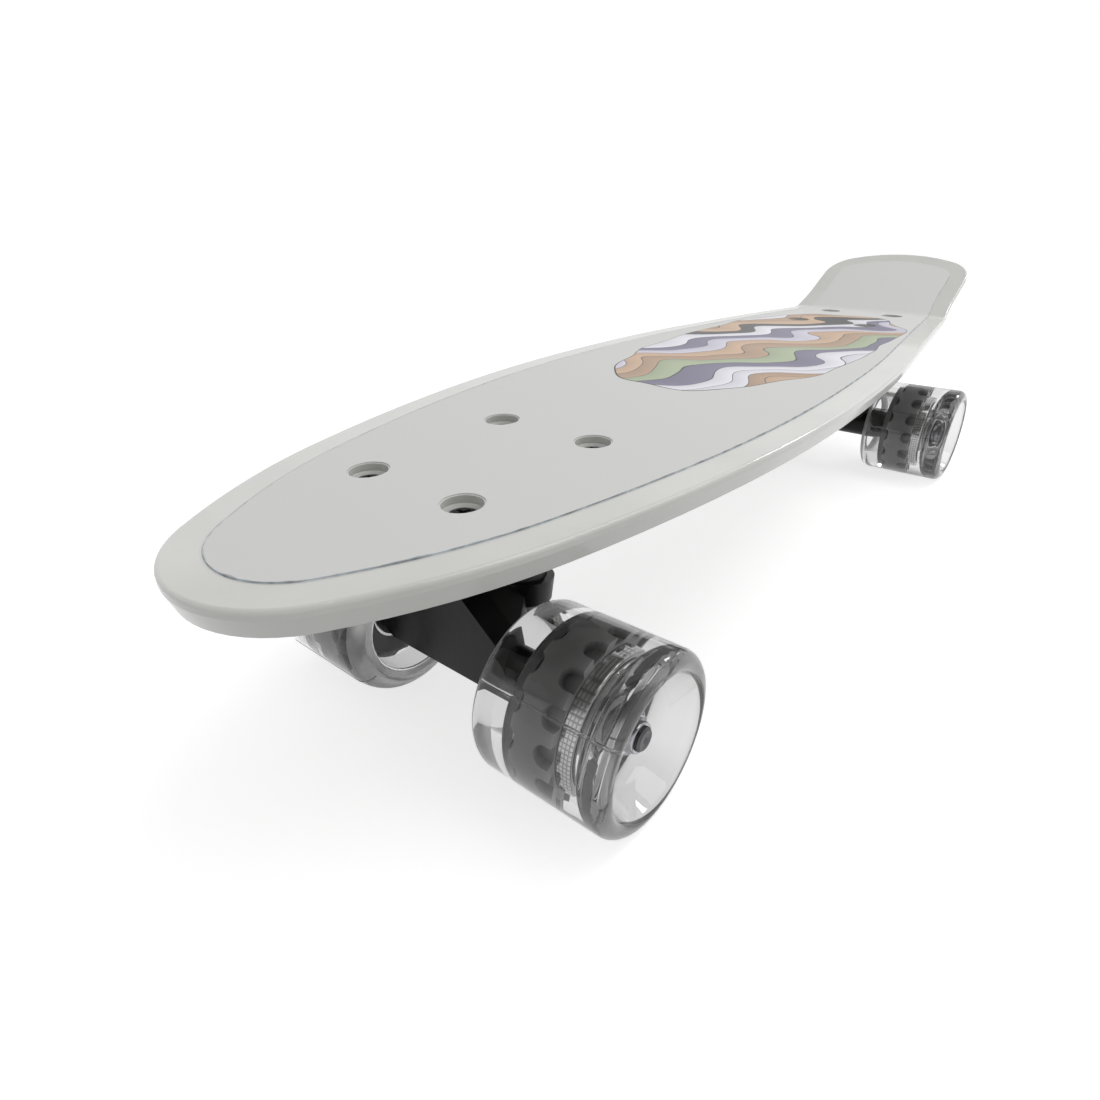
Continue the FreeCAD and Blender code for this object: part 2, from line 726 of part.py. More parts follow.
def make_core():
    """Moulded core: notched band, stepped inboard ring, outer drum, a seat for a bearing at each end."""
    seat = bearing_diameter / 2 + press_fit
    shoulder = seat - core_shoulder
    first_bearing_end = bearing_start + bearing_width
    core = turned([(seat, bearing_start, 0), (core_step_radius, bearing_start, 0),
                   (core_step_radius, core_band_start, 0), (core_radius, core_band_start, 0),
                   (core_radius, core_flange, 0), (drum_radius, core_flange, 0),
                   (drum_radius, bearing_end, 0), (seat, bearing_end, 0),
                   (seat, second_bearing, 0), (shoulder, second_bearing, 0),
                   (shoulder, first_bearing_end, 0), (seat, first_bearing_end, 0)])
    tools = []
    for i in range(notch_count):
        for edge, inwards in ((core_band_start, 1), (core_flange, -1)):
            tool = core_notch(edge, inwards)
            tool.rotate(vec(0, 0, 0), UP, 360.0 * i / notch_count)
            tools.append(tool)
    return core.cut(tools)


def make_outer_races():
    """Outer races of the two bearings, each with its two shields."""
    outer = bearing_diameter / 2
    inner = outer - outer_race_wall
    eye = axle_diameter / 2 + inner_race_wall + shield_gap
    near = shield_inset
    deep = shield_inset + shield_thickness
    races = []
    for start in (bearing_start, second_bearing):
        loop = [(outer, 0, 0), (outer, bearing_width, 0), (inner, bearing_width, 0),
                (inner, bearing_width - near, 0), (eye, bearing_width - near, 0),
                (eye, bearing_width - deep, 0), (inner, bearing_width - deep, 0),
                (inner, deep, 0), (eye, deep, 0), (eye, near, 0), (inner, near, 0), (inner, 0, 0)]
        race = turned(loop)
        race.translate(UP * start)
        races.append(race)
    return Part.makeCompound(races)


def sleeve(bore, radius, start, end):
    """Plain ring along Z."""
    return turned([(bore, start, 0), (radius, start, 0), (radius, end, 0), (bore, end, 0)])


def make_inner_races():
    """Inner races of the two bearings."""
    bore = axle_diameter / 2 + press_fit
    radius = axle_diameter / 2 + inner_race_wall
    return Part.makeCompound([sleeve(bore, radius, start, start + bearing_width)
                              for start in (bearing_start, second_bearing)])


def make_spacer():
    """Spacer between the inner races."""
    bore = axle_diameter / 2 + running_fit
    return sleeve(bore, bore + spacer_wall, bearing_start + bearing_width, second_bearing)


def make_speed_washers():
    """Thin washers either side of the bearings."""
    bore = axle_diameter / 2 + running_fit
    return Part.makeCompound([sleeve(bore, speed_washer_radius, start, start + speed_washer_thickness)
                              for start in (hanger_width / 2, bearing_end)])


def make_axle_nut():
    """Lock nut with a domed collar."""
    start = bearing_end + speed_washer_thickness
    nut = hexagon(axle_nut_across_flats, start, start + axle_nut_hex_height, axle_nut_chamfer)
    end = start + axle_nut_height
    collar = turned([(0, start, 0), (axle_nut_collar_radius, start, 0),
                     (axle_nut_collar_radius, end, axle_nut_dome), (0, end, 0)])
    bore = rod(axle_diameter / 2 + press_fit, start - 1, end + 1)
    return nut.fuse(collar).cut(bore).removeSplitter()


def build():
    """Makes every piece and returns them by name."""
    outline = board_outline()
    pieces = {"deck": make_board(outline), "deck_film": make_film(outline)}
    truck_makers = {
        "baseplate": make_baseplate, "pivot_cup": make_pivot_cup, "kingpin": make_kingpin,
        "kingpin_nut": make_kingpin_nut, "kingpin_washers": make_kingpin_washers,
        "bushing_upper": lambda: make_bushing(seat_z, upper_stack - washer_thickness,
                                              bushing_radius, bushing_radius),
        "bushing_lower": lambda: make_bushing(-seat_z, washer_thickness - lower_stack,
                                              bushing_radius, lower_bushing_small_radius),
        "hanger": make_hanger, "axle": make_axle}
    wheel_makers = {
        "tyre": make_tyre, "core": make_core, "bearing_outer_races": make_outer_races,
        "bearing_inner_races": make_inner_races, "bearing_spacer": make_spacer,
        "speed_washers": make_speed_washers, "axle_nut": make_axle_nut}
    truck_shapes = {name: maker() for name, maker in truck_makers.items()}
    wheel_shapes = {name: maker() for name, maker in wheel_makers.items()}
    for end, axle_x, toward in (("front", front_axle_x, 1), ("rear", rear_axle_x, -1)):
        centre = vec(axle_x, 0, axle_z)
        for name, shape in truck_shapes.items():
            piece = shape.copy()
            if toward < 0:
                piece.rotate(vec(0, 0, 0), UP, 180)
            piece.translate(centre)
            pieces[end + "_" + name] = piece
        pieces[end + "_mounting_screws"] = make_mounting_screws(axle_x, toward)
        pieces[end + "_mounting_nuts"] = make_mounting_nuts(axle_x, toward)
        for side, sign in (("left", 1), ("right", -1)):
            for name, shape in wheel_shapes.items():
                pieces[end + "_" + side + "_" + name] = placed(shape, centre, vec(0, sign, 0))
    return pieces


os.makedirs("parts", exist_ok=True)
for node, shape in build().items():
    shape.exportStep("parts/" + node + ".step")
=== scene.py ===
"""Looks of a short plastic cruiser skateboard with black trucks and clear cast wheels.

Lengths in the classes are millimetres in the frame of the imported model: +X to the nose, +Z up,
wheels on Z = 0. Meshes are worked out with numpy and handed over in metres. A turned form is built
along +Z and then laid on its own axis.
"""

import json
import logging
import math
from dataclasses import dataclass
from enum import Enum
from typing import Any, Optional, Sequence

import bpy
import numpy as np
from mathutils import Matrix, Vector

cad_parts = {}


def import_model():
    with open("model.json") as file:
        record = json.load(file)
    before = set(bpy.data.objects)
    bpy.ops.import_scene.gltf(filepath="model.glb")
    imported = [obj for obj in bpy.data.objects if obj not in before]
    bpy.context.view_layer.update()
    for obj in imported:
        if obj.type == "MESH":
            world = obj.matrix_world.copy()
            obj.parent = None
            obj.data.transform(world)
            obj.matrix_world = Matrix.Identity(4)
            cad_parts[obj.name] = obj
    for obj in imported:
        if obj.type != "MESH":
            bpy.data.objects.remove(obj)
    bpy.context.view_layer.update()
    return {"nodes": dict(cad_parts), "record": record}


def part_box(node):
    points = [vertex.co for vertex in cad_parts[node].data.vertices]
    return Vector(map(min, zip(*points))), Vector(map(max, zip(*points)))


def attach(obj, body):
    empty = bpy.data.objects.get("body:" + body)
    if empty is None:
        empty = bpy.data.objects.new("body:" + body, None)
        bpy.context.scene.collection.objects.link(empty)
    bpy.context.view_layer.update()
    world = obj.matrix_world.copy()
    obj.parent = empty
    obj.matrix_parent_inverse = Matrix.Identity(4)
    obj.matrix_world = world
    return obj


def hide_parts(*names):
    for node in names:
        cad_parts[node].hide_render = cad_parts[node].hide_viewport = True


LOG = logging.getLogger("cruiser")
MM = 0.001
Array = np.ndarray
Corner = tuple[float, float, float]
Surface = tuple[Array, list]
Tree = bpy.types.NodeTree
Node = bpy.types.Node
Socket = bpy.types.NodeSocket
WHITE = (1.0, 1.0, 1.0, 1.0)


class End(Enum):
    """The board's two ends, with the way that end's truck points along X."""

    FRONT = 1
    REAR = -1

    @property
    def label(self) -> str:
        """Name used in node and piece names."""
        return self.name.lower()


class Side(Enum):
    """The board's two sides, with the sign of Y there."""

    LEFT = 1
    RIGHT = -1

    @property
    def label(self) -> str:
        """Name used in node and piece names."""
        return self.name.lower()


def linear(code: str) -> tuple[float, float, float, float]:
    """Turns an sRGB hex colour into linear RGBA.

    Args:
        code: Six hex digits, such as "d0d0cd".

    Returns:
        Linear red, green, blue and an alpha of 1.
    """
    srgb = [int(code[i:i + 2], 16) / 255 for i in (0, 2, 4)]
    red, green, blue = (c / 12.92 if c <= 0.04045 else ((c + 0.055) / 1.055) ** 2.4 for c in srgb)
    return red, green, blue, 1.0


# Mesh helpers

def rounded_profile(corners: Sequence[Corner], closed: bool, steps: int = 7) -> Array:
    """Polyline through (radius, height, rounding) corners, each replaced by an arc.

    The arc of a corner is tangent to both sides. It starts rounding / tan(half the angle) from the
    corner, and its centre lies on the angle's bisector.

    Args:
        corners: Points of the profile with the radius that rounds each.
        closed: Whether the last corner joins the first.
        steps: Points on each arc.

    Returns:
        Points of the polyline, one (radius, height) a row.
    """
    count = len(corners)
    rows: list[Array] = []
    for i, (x, y, rounding) in enumerate(corners):
        here = np.array([x, y], float)
        ends_here = not closed and i in (0, count - 1)
        if rounding <= 0 or ends_here:
            rows.append(here[None, :])
            continue
        back = np.array(corners[i - 1][:2], float) - here
        ahead = np.array(corners[(i + 1) % count][:2], float) - here
        back /= np.hypot(*back)
        ahead /= np.hypot(*ahead)
        half = math.acos(float(np.clip(back @ ahead, -1, 1))) / 2
        bisector = (back + ahead) / np.hypot(*(back + ahead))
        centre = here + bisector * rounding / math.sin(half)
        start = here + back * rounding / math.tan(half) - centre
        finish = here + ahead * rounding / math.tan(half) - centre
        first = math.atan2(start[1], start[0])
        sweep = (math.atan2(finish[1], finish[0]) - first + math.pi) % (2 * math.pi) - math.pi
        angles = first + sweep * np.linspace(0, 1, steps)
        rows.append(centre + rounding * np.column_stack([np.cos(angles), np.sin(angles)]))
    return np.vstack(rows)


def placed(points: Array, origin: Sequence[float], axis: Sequence[float]) -> Array:
    """Turns points built along +Z so that +Z becomes an axis, and moves them to an origin.

    Args:
        points: Points in millimetres, in an array whose last side is 3.
        origin: Where the local origin goes.
        axis: Where the local +Z goes.

    Returns:
        The moved points.
    """
    turn = np.array(Vector((0, 0, 1)).rotation_difference(Vector(axis)).to_matrix())
    return points @ turn.T + np.asarray(origin, float)


def add_mesh(name: str, points: Array, faces: list, smooth_angle: float = 35.0) -> bpy.types.Object:
    """Makes a mesh object from points in millimetres.

    Args:
        name: Name of the object.
        points: Points, one a row.
        faces: Lists of point numbers.
        smooth_angle: Edges that bend by more degrees than this stay sharp.

    Returns:
        The new object, linked to the scene.
    """
    mesh = bpy.data.meshes.new(name)
    mesh.from_pydata((np.asarray(points, float) * MM).tolist(), [], faces)
    mesh.validate()
    mesh.shade_smooth()
    mesh.set_sharp_from_angle(angle=math.radians(smooth_angle))
    mesh.update()
    piece = bpy.data.objects.new(name, mesh)
    bpy.context.scene.collection.objects.link(piece)
    return piece


def grid_faces(rows: int, columns: int, wrap_rows: bool, wrap_columns: bool, first: int = 0) -> Array:
    """Quads of a grid of points that are numbered row by row.

    Args:
        rows: Rows of points.
        columns: Points in a row.
        wrap_rows: Whether the last row joins the first.
        wrap_columns: Whether the last column joins the first.
        first: Number of the grid's first point.

    Returns:
        Point numbers, four a row.
    """
    row = np.arange(rows if wrap_rows else rows - 1)
    column = np.arange(columns if wrap_columns else columns - 1)
    i, j = (a.ravel() for a in np.meshgrid(row, column, indexing="ij"))
    i2, j2 = (i + 1) % rows, (j + 1) % columns
    return first + np.column_stack([i * columns + j, i * columns + j2, i2 * columns + j2, i2 * columns + j])


@dataclass
class Turned:
    """A turned form: a profile of radius and height carried round +Z.

    A point is (r cos a, r sin a, z), where r and z follow the profile and a goes once round. A profile that
    starts or ends on the axis is closed there by a fan of triangles.
    """

    profile: Array
    columns: int = 128
    closed: bool = False

    def angles(self) -> Array:
        """Angle of each column."""
        return np.arange(self.columns) * 2 * math.pi / self.columns

    def grid(self) -> Array:
        """Radius, angle and height of every point.

        Returns:
            Three arrays of one row for each profile point and one column for each angle.
        """
        radius = np.repeat(self.profile[:, :1], self.columns, 1)
        height = np.repeat(self.profile[:, 1:2], self.columns, 1)
        return np.stack([radius, np.broadcast_to(self.angles(), radius.shape), height])

    def surface(self, polar: Optional[Array] = None) -> tuple[Array, list]:
        """Points and faces, from the plain grid or from one that has been shaped.

        Args:
            polar: Radius, angle and height of every point, as grid() gives them.

        Returns:
            The points, one a row, and the faces as lists of point numbers.
        """
        radius, angle, height = self.grid() if polar is None else polar
        points = np.stack([radius * np.cos(angle), radius * np.sin(angle), height], -1)
        rows = len(self.profile)
        starts_on_axis = not self.closed and self.profile[0, 0] < 1e-9
        ends_on_axis = not self.closed and self.profile[-1, 0] < 1e-9
        body = points[int(starts_on_axis):rows - int(ends_on_axis)]
        faces = grid_faces(len(body), self.columns, self.closed, True).tolist()
        flat = [body.reshape(-1, 3)]
        ring = np.arange(self.columns)
        after = (ring + 1) % self.columns
        total = body.shape[0] * self.columns
        if starts_on_axis:
            flat.append(points[0, :1])
            faces += np.column_stack([np.full(self.columns, total), after, ring]).tolist()
            total += 1
        if ends_on_axis:
            flat.append(points[-1, :1])
            last = (body.shape[0] - 1) * self.columns
            faces += np.column_stack([np.full(self.columns, total), ring + last, after + last]).tolist()
        return np.vstack(flat), faces


def facing_out(points: Array, faces: list) -> list:
    """Turns a surface's faces over where they enclose a negative volume.

    The volume is the sum over the faces of (a x b) . c / 6, from each face's first three corners.

    Args:
        points: Points of the surface, one a row.
        faces: Lists of point numbers.

    Returns:
        The faces, all turned over or none.
    """
    corners = np.array([face[:3] for face in faces])
    a, b, c = (points[corners[:, k]] - points.mean(0) for k in range(3))
    volume = float(np.einsum("ij,ij->", np.cross(a, b), c))
    return faces if volume >= 0 else [face[::-1] for face in faces]


def merged(surfaces: Sequence[Surface]) -> Surface:
    """Joins closed surfaces into one, each facing outwards.

    Args:
        surfaces: Points and faces of each.

    Returns:
        Points and faces of all.
    """
    points: list[Array] = []
    faces: list = []
    total = 0
    for part_points, part_faces in surfaces:
        points.append(part_points)
        faces += [[index + total for index in face] for face in facing_out(part_points, part_faces)]
        total += len(part_points)
    return np.vstack(points), faces


def add_surface(name: str, parts: Sequence[Surface], origin: Sequence[float], axis: Sequence[float],
                smooth_angle: float = 35.0) -> bpy.types.Object:
    """Joins several closed surfaces, places them and makes one object.

    Args:
        name: Name of the object.
        parts: Points and faces of each surface, built along +Z. A surface's faces take its place in
            the list as their material's number.
        origin: Where the local origin goes, in millimetres.
        axis: Where the local +Z goes.
        smooth_angle: Edges that bend by more degrees than this stay sharp.

    Returns:
        The new object.
    """
    points, faces = merged(parts)
    numbers = np.repeat(np.arange(len(parts)), [len(part_faces) for _, part_faces in parts]).tolist()
    piece = add_mesh(name, placed(points, origin, axis), faces, smooth_angle)
    piece.data.polygons.foreach_set("material_index", numbers)
    return piece


# Finishes

def add_node(tree: Tree, kind: str, inputs: Optional[dict] = None, **settings: Any) -> Node:
    """Adds a shader node with its settings, input values and incoming links.

    Args:
        tree: Node tree that takes the node.
        kind: Blender's name of the node type, without "ShaderNode".
        inputs: Input name or number to a constant or to the socket that feeds it.
        **settings: Attributes of the node.

    Returns:
        The new node.
    """
    node = tree.nodes.new("ShaderNode" + kind)
    for name, value in settings.items():
        setattr(node, name, value)
    for name, value in (inputs or {}).items():
        if isinstance(value, Socket):
            tree.links.new(value, node.inputs[name])
        else:
            node.inputs[name].default_value = value
    return node


def add_math(tree: Tree, operation: str, *values: Any) -> Socket:
    """Adds one arithmetic node.

    Args:
        tree: Node tree that takes the node.
        operation: Blender's name of the operation.
        *values: Its inputs, each a socket or a number.

    Returns:
        The result.
    """
    return add_node(tree, "Math", dict(enumerate(values)), operation=operation).outputs[0]


class Shading:
    """A material's nodes, while a finish adds to them."""

    def __init__(self, name: str, colour: str, roughness: float) -> None:
        """Makes the material with its constant values.

        Args:
            name: Name of the material.
            colour: Its colour in sRGB hex.
            roughness: Its roughness.
        """
        self.material = bpy.data.materials.new(name)
        self.material.use_nodes = True
        self.tree = self.material.node_tree
        self.shader = self.tree.nodes["Principled BSDF"]
        self.colour = colour
        self.set("Base Color", linear(colour))
        self.set("Roughness", roughness)

    def set(self, name: str, value: Any) -> None:
        """Gives the main shader a constant, or links a socket to it.

        Args:
            name: Name of the shader's input.
            value: The constant or the socket.
        """
        if isinstance(value, Socket):
            self.tree.links.new(value, self.shader.inputs[name])
        else:
            self.shader.inputs[name].default_value = value

    def place(self) -> Socket:
        """Object coordinates, which are those of the frame, in metres."""
        return add_node(self.tree, "TexCoord").outputs["Object"]

    def noise(self, size_mm: float, detail: float = 2.0) -> Socket:
        """Noise with blotches of about size_mm.

        Args:
            size_mm: Size of a blotch in millimetres.
            detail: Octaves of finer noise.

        Returns:
            The noise value.
        """
        inputs = {"Vector": self.place(), "Scale": 1 / (size_mm * MM), "Detail": detail}
        return add_node(self.tree, "TexNoise", inputs).outputs["Fac"]

    def math(self, operation: str, *values: Any) -> Socket:
        """One arithmetic node, as add_math() makes it.

        Args:
            operation: Blender's name of the operation.
            *values: Its inputs, each a socket or a number.

        Returns:
            The result.
        """
        return add_math(self.tree, operation, *values)

    def scaled(self, vector: Any, share: Any) -> Socket:
        """A vector or colour times a number.

        Args:
            vector: The vector or its socket.
            share: The number or its socket.

        Returns:
            The product.
        """
        node = add_node(self.tree, "VectorMath", {0: vector, "Scale": share}, operation="SCALE")
        return node.outputs["Vector"]

    def mix(self, share: Socket, first: Any, second: Any) -> Socket:
        """Blends two colours.

        Args:
            share: 0 for the first colour, 1 for the second.
            first: A colour or its socket.
            second: A colour or its socket.

        Returns:
            The blend.
        """
        return add_node(self.tree, "Mix", {0: share, 6: first, 7: second}, data_type="RGBA").outputs[2]

    def spread(self, value: Socket, low: float, high: float,
               span: tuple[float, float] = (0.3, 0.7)) -> Socket:
        """Maps a value from a span, by default the bulk of a noise, to low..high.

        Args:
            value: The value.
            low: Result at the span's start.
            high: Result at its end.
            span: Values that give low and high.

        Returns:
            The result.
        """
        inputs = {"Value": value, "From Min": span[0], "From Max": span[1], "To Min": low, "To Max": high}
        return add_node(self.tree, "MapRange", inputs).outputs["Result"]

    def clouded(self, value: Socket, dark: float, light: float) -> Socket:
        """The material's colour, made darker or lighter by a noise.

        Args:
            value: The noise.
            dark: Share of the colour where the noise is low.
            light: Share of the colour where it is high.

        Returns:
            The colour.
        """
        return self.scaled(linear(self.colour)[:3], self.spread(value, dark, light))

    def bump(self, height: Socket, depth_mm: float, strength: float) -> None:
        """Feeds a height into the shader's normal.

        Args:
            height: Height from 0 to 1.
            depth_mm: What a height of 1 stands for in millimetres.
            strength: How much of the bump is used.
        """
        inputs = {"Height": height, "Distance": depth_mm * MM, "Strength": strength}
        self.set("Normal", add_node(self.tree, "Bump", inputs).outputs["Normal"])


@dataclass(frozen=True)
class Finish:
    """What every finish has: its name, its slot, its colour and its roughness."""

    name: str
    slot: str
    colour: str
    roughness: float

    def build(self) -> bpy.types.Material:
        """Makes the material and paints it.

        Returns:
            The finished material.
        """
        shading = Shading(self.name, self.colour, self.roughness)
        self.paint(shading)
        return shading.material

    def paint(self, on: Shading) -> None:
        """Adds the finish's own values and nodes.

        Args:
            on: The material's nodes.
        """
        raise NotImplementedError(self.name)


@dataclass(frozen=True)
class MouldedPolypropylene(Finish):
    """Injection-moulded polypropylene: a dense pale body colour under a soft, slightly waxy gloss.

    Faint flow marks cloud the colour over centimetres, and a fine orange peel breaks up the highlight.
    """

    cloud_mm: float = 30.0
    clouds: tuple[float, float] = (0.94, 1.02)
    peel_mm: float = 1.6
    peel_depth_mm: float = 0.03
    peel_strength: float = 0.5
    coat: float = 0.6
    coat_roughness: float = 0.07

    def paint(self, on: Shading) -> None:
        """Adds flow marks, coat and orange peel.

        Args:
            on: The material's nodes.
        """
        on.set("Base Color", on.clouded(on.noise(self.cloud_mm, 3.0), *self.clouds))
        on.set("Coat Weight", self.coat)
        on.set("Coat Roughness", self.coat_roughness)
        on.bump(on.noise(self.peel_mm), self.peel_depth_mm, self.peel_strength)


@dataclass(frozen=True)
class PrintedFilm(Finish):
    """Matt film with an abstract print of layered dunes, in ink colours with thin dark outlines.

    The print lies in an oval on the deck's middle. Bands cross the oval at a slant, each bent by a sine
    wave and a slow noise, and a band's ink is picked by its number. A band darkens towards one edge. The
    ink is a little glossier than the film.
    """

    middle: tuple[float, float] = (-48.0, 1.0)
    half_size: tuple[float, float] = (122.0, 50.0)
    squareness: float = 2.6
    ripple: float = 0.12
    border: float = 0.009
    slant: float = 0.42
    band_mm: float = 11.5
    wave_mm: float = 62.0
    wave_height_mm: float = 9.0
    drift_scale: float = 0.021
    drift_mm: float = 46.0
    outline_mm: float = 0.55
    outline: str = "1d1b1f"
    ink_step: int = 5
    band_shade: tuple[float, float] = (0.82, 1.06)
    ink_roughness: float = 0.36
    tooth_mm: float = 0.8
    tooth_depth_mm: float = 0.006
    tooth_strength: float = 0.3
    inks: tuple[str, ...] = ("6f6a86", "2b2729", "9794aa", "b08f72", "c9c6d6", "4a3834", "e1e0e8", "a3b08e",
                             "8c7cab", "c7a585", "dcdbe4", "8d5f5d")

    def paint(self, on: Shading) -> None:
        """Adds the print, its border and the film's fine tooth.

        Args:
            on: The material's nodes.
        """
        middle = tuple(-c * MM for c in self.middle) + (0.0,)
        shifted = add_node(on.tree, "VectorMath", {0: on.place(), 1: middle}, operation="ADD")
        in_mm = on.scaled(shifted.outputs["Vector"], 1 / MM)
        place = add_node(on.tree, "SeparateXYZ", {"Vector": in_mm})
        x, y = place.outputs["X"], place.outputs["Y"]
        inputs = {"Vector": in_mm, "Scale": self.drift_scale, "Detail": 1.0}
        drift = add_node(on.tree, "TexNoise", inputs).outputs["Fac"]
        reach = self.reach(on, x, y, drift)
        inside = on.math("LESS_THAN", reach, 1.0)
        colour = on.mix(inside, linear(self.colour), self.bands(on, x, y, drift))
        on_border = on.math("COMPARE", reach, 1.0, self.border)
        on.set("Base Color", on.mix(on_border, colour, linear(self.outline)))
        on.set("Roughness", on.spread(inside, self.roughness, self.ink_roughness, (0.0, 1.0)))
        on.bump(on.noise(self.tooth_mm), self.tooth_depth_mm, self.tooth_strength)

    def bands(self, on: Shading, x: Socket, y: Socket, drift: Socket) -> Socket:
        """Colour of the print's bands.

        A point's level is (y + slant x + wave height sin(2 pi x / wave) + drift) / band. Its whole part
        numbers the band, and its fraction says where in the band the point lies.

        Args:
            on: The material's nodes.
            x: Millimetres from the print's middle along the board.
            y: Millimetres from the print's middle across the board.
            drift: Slow noise.

        Returns:
            The colour.
        """
        wave = on.math("SINE", on.math("MULTIPLY", x, 2 * math.pi / self.wave_mm))
        sway = on.math("ADD", on.math("MULTIPLY", wave, self.wave_height_mm),
                       on.math("MULTIPLY", drift, self.drift_mm))
        across = on.math("ADD", on.math("ADD", y, on.math("MULTIPLY", x, self.slant)), sway)
        level = on.math("MULTIPLY", across, 1 / self.band_mm)
        within = on.math("FRACT", level)
        count = len(self.inks)
        pick = on.math("FRACT", on.math("MULTIPLY", on.math("FLOOR", level), self.ink_step / count))
        node = add_node(on.tree, "ValToRGB", {"Fac": pick})
        ramp = node.color_ramp
        ramp.interpolation = "CONSTANT"
        while len(ramp.elements) < count:
            ramp.elements.new(1.0)
        for index, ink in enumerate(self.inks):
            ramp.elements[index].position = index / count
            ramp.elements[index].color = linear(ink)
        shaded = on.scaled(node.outputs["Color"], on.spread(within, *self.band_shade, (0.0, 1.0)))
        near_edge = on.math("PINGPONG", within, 0.5)
        line = on.math("LESS_THAN", near_edge, self.outline_mm / self.band_mm / 2)
        return on.mix(line, shaded, linear(self.outline))

    def reach(self, on: Shading, x: Socket, y: Socket, drift: Socket) -> Socket:
        """How far out a point lies: 1 on the print's border, a squarish oval with a slow ripple.

        It is |x / a|^n + |y / b|^n plus a ripple, with the half sizes a and b and the squareness n.

        Args:
            on: The material's nodes.
            x: Millimetres from the print's middle along the board.
            y: Millimetres from the print's middle across the board.
            drift: Slow noise that bends the border.

        Returns:
            The reach.
        """
        along, across = (on.math("POWER", on.math("ABSOLUTE", on.math("MULTIPLY", value, 1 / half)),
                                 self.squareness) for value, half in zip((x, y), self.half_size))
        return on.math("ADD", on.math("ADD", along, across), on.spread(drift, -self.ripple, self.ripple))


@dataclass(frozen=True)
class Clouded(Finish):
    """A dull surface with nothing but a mottle: a soft rubber's bloom, or the grey line, darker than the
    film, along the film's cut edge.
    """

    mottle_mm: float = 5.0
    mottle: tuple[float, float] = (0.6, 1.3)

    def paint(self, on: Shading) -> None:
        """Adds the mottle.

        Args:
            on: The material's nodes.
        """
        on.set("Base Color", on.clouded(on.noise(self.mottle_mm, 4.0), *self.mottle))


@dataclass(frozen=True)
class BlackPaint(Finish):
    """Stoved black paint or black oxide: near black and satin, with a soft ripple below it."""

    ripple_mm: float = 6.0
    ripple_depth_mm: float = 0.06
    ripple_strength: float = 0.3
    grain_mm: float = 0.9
    grain: tuple[float, float] = (-0.05, 0.07)
    gloss: float = 0.2

    def paint(self, on: Shading) -> None:
        """Adds grain and ripple, under a faint gloss.

        Args:
            on: The material's nodes.
        """
        least, most = (self.roughness + change for change in self.grain)
        on.set("Roughness", on.spread(on.noise(self.grain_mm), least, most))
        on.set("Specular IOR Level", self.gloss)
        on.bump(on.noise(self.ripple_mm), self.ripple_depth_mm, self.ripple_strength)


@dataclass(frozen=True)
class ClearUrethane(Finish):
    """Clear cast polyurethane: glassy and faintly smoky, with dark edges where it bends light."""

    ior: float = 1.49
    wave_mm: float = 9.0
    wave_depth_mm: float = 0.02
    wave_strength: float = 0.15

    def paint(self, on: Shading) -> None:
        """Makes it clear and a little wavy.

        Args:
            on: The material's nodes.
        """
        on.set("Transmission Weight", 1.0)
        on.set("IOR", self.ior)
        on.bump(on.noise(self.wave_mm, 1.0), self.wave_depth_mm, self.wave_strength)


@dataclass(frozen=True)
class TurnedUrethane(Finish):
    """The wheel's inboard face, turned on a lathe: the clear urethane looks frosted and grey there."""

    ior: float = 1.49
    clear: float = 0.45
    haze_mm: float = 3.0
    haze: tuple[float, float] = (0.9, 1.1)
    haze_roughness: float = 0.08

    def paint(self, on: Shading) -> None:
        """Makes it half clear and hazy.

        Args:
            on: The material's nodes.
        """
        on.set("Transmission Weight", self.clear)
        on.set("IOR", self.ior)
        noise = on.noise(self.haze_mm, 3.0)
        on.set("Base Color", on.clouded(noise, *self.haze))
        least, most = self.roughness - self.haze_roughness, self.roughness + self.haze_roughness
        on.set("Roughness", on.spread(noise, least, most))


@dataclass(frozen=True)
class Steel(Finish):
    """Bare or plated steel: metallic, with fine machining marks that break up the reflections."""

    marks_mm: float = 0.5
    marks: tuple[float, float] = (0.8, 1.3)
    marks_depth_mm: float = 0.003
    marks_strength: float = 0.4

    def paint(self, on: Shading) -> None:
        """Makes it metallic and adds the marks.

        Args:
            on: The material's nodes.
        """
        on.set("Metallic", 1.0)
        marks = on.noise(self.marks_mm, 1.0)
        on.set("Roughness", on.spread(marks, *(self.roughness * share for share in self.marks)))
        on.bump(marks, self.marks_depth_mm, self.marks_strength)


@dataclass(frozen=True)
class KnurledSteel(Finish):
    """Bright steel with a fine square knurl, which breaks reflections into a mesh, and painted shade in its
    grooves.

    The knurl is the lesser of two sine waves, one along the axle and one across it. Blender's wave
    texture repeats every wave_period at a scale of 1.
    """

    pitch_mm: float = 1.3
    wave_period: float = 0.314
    groove: str = "8e8e8e"
    groove_end: tuple[float, float] = (0.05, 0.35)
    depth_mm: float = 0.02
    depth_strength: float = 0.4

    def paint(self, on: Shading) -> None:
        """Makes it metallic and adds the knurl, with painted shade in its grooves.

        Args:
            on: The material's nodes.
        """
        on.set("Metallic", 1.0)
        inputs = {"Vector": on.place(), "Scale": self.wave_period / (self.pitch_mm * MM)}
        ridges = on.math("MINIMUM", *(add_node(on.tree, "TexWave", inputs, wave_type="BANDS",
                                               bands_direction=way, wave_profile="SIN").outputs["Fac"]
                                      for way in ("Y", "Z")))
        # Painted shade: the knurl's grooves are coloured darker grey than its ridges.
        share = on.spread(ridges, 0.0, 1.0, self.groove_end)
        on.set("Base Color", on.mix(share, linear(self.groove), linear(self.colour)))
        on.bump(ridges, self.depth_mm, self.depth_strength)


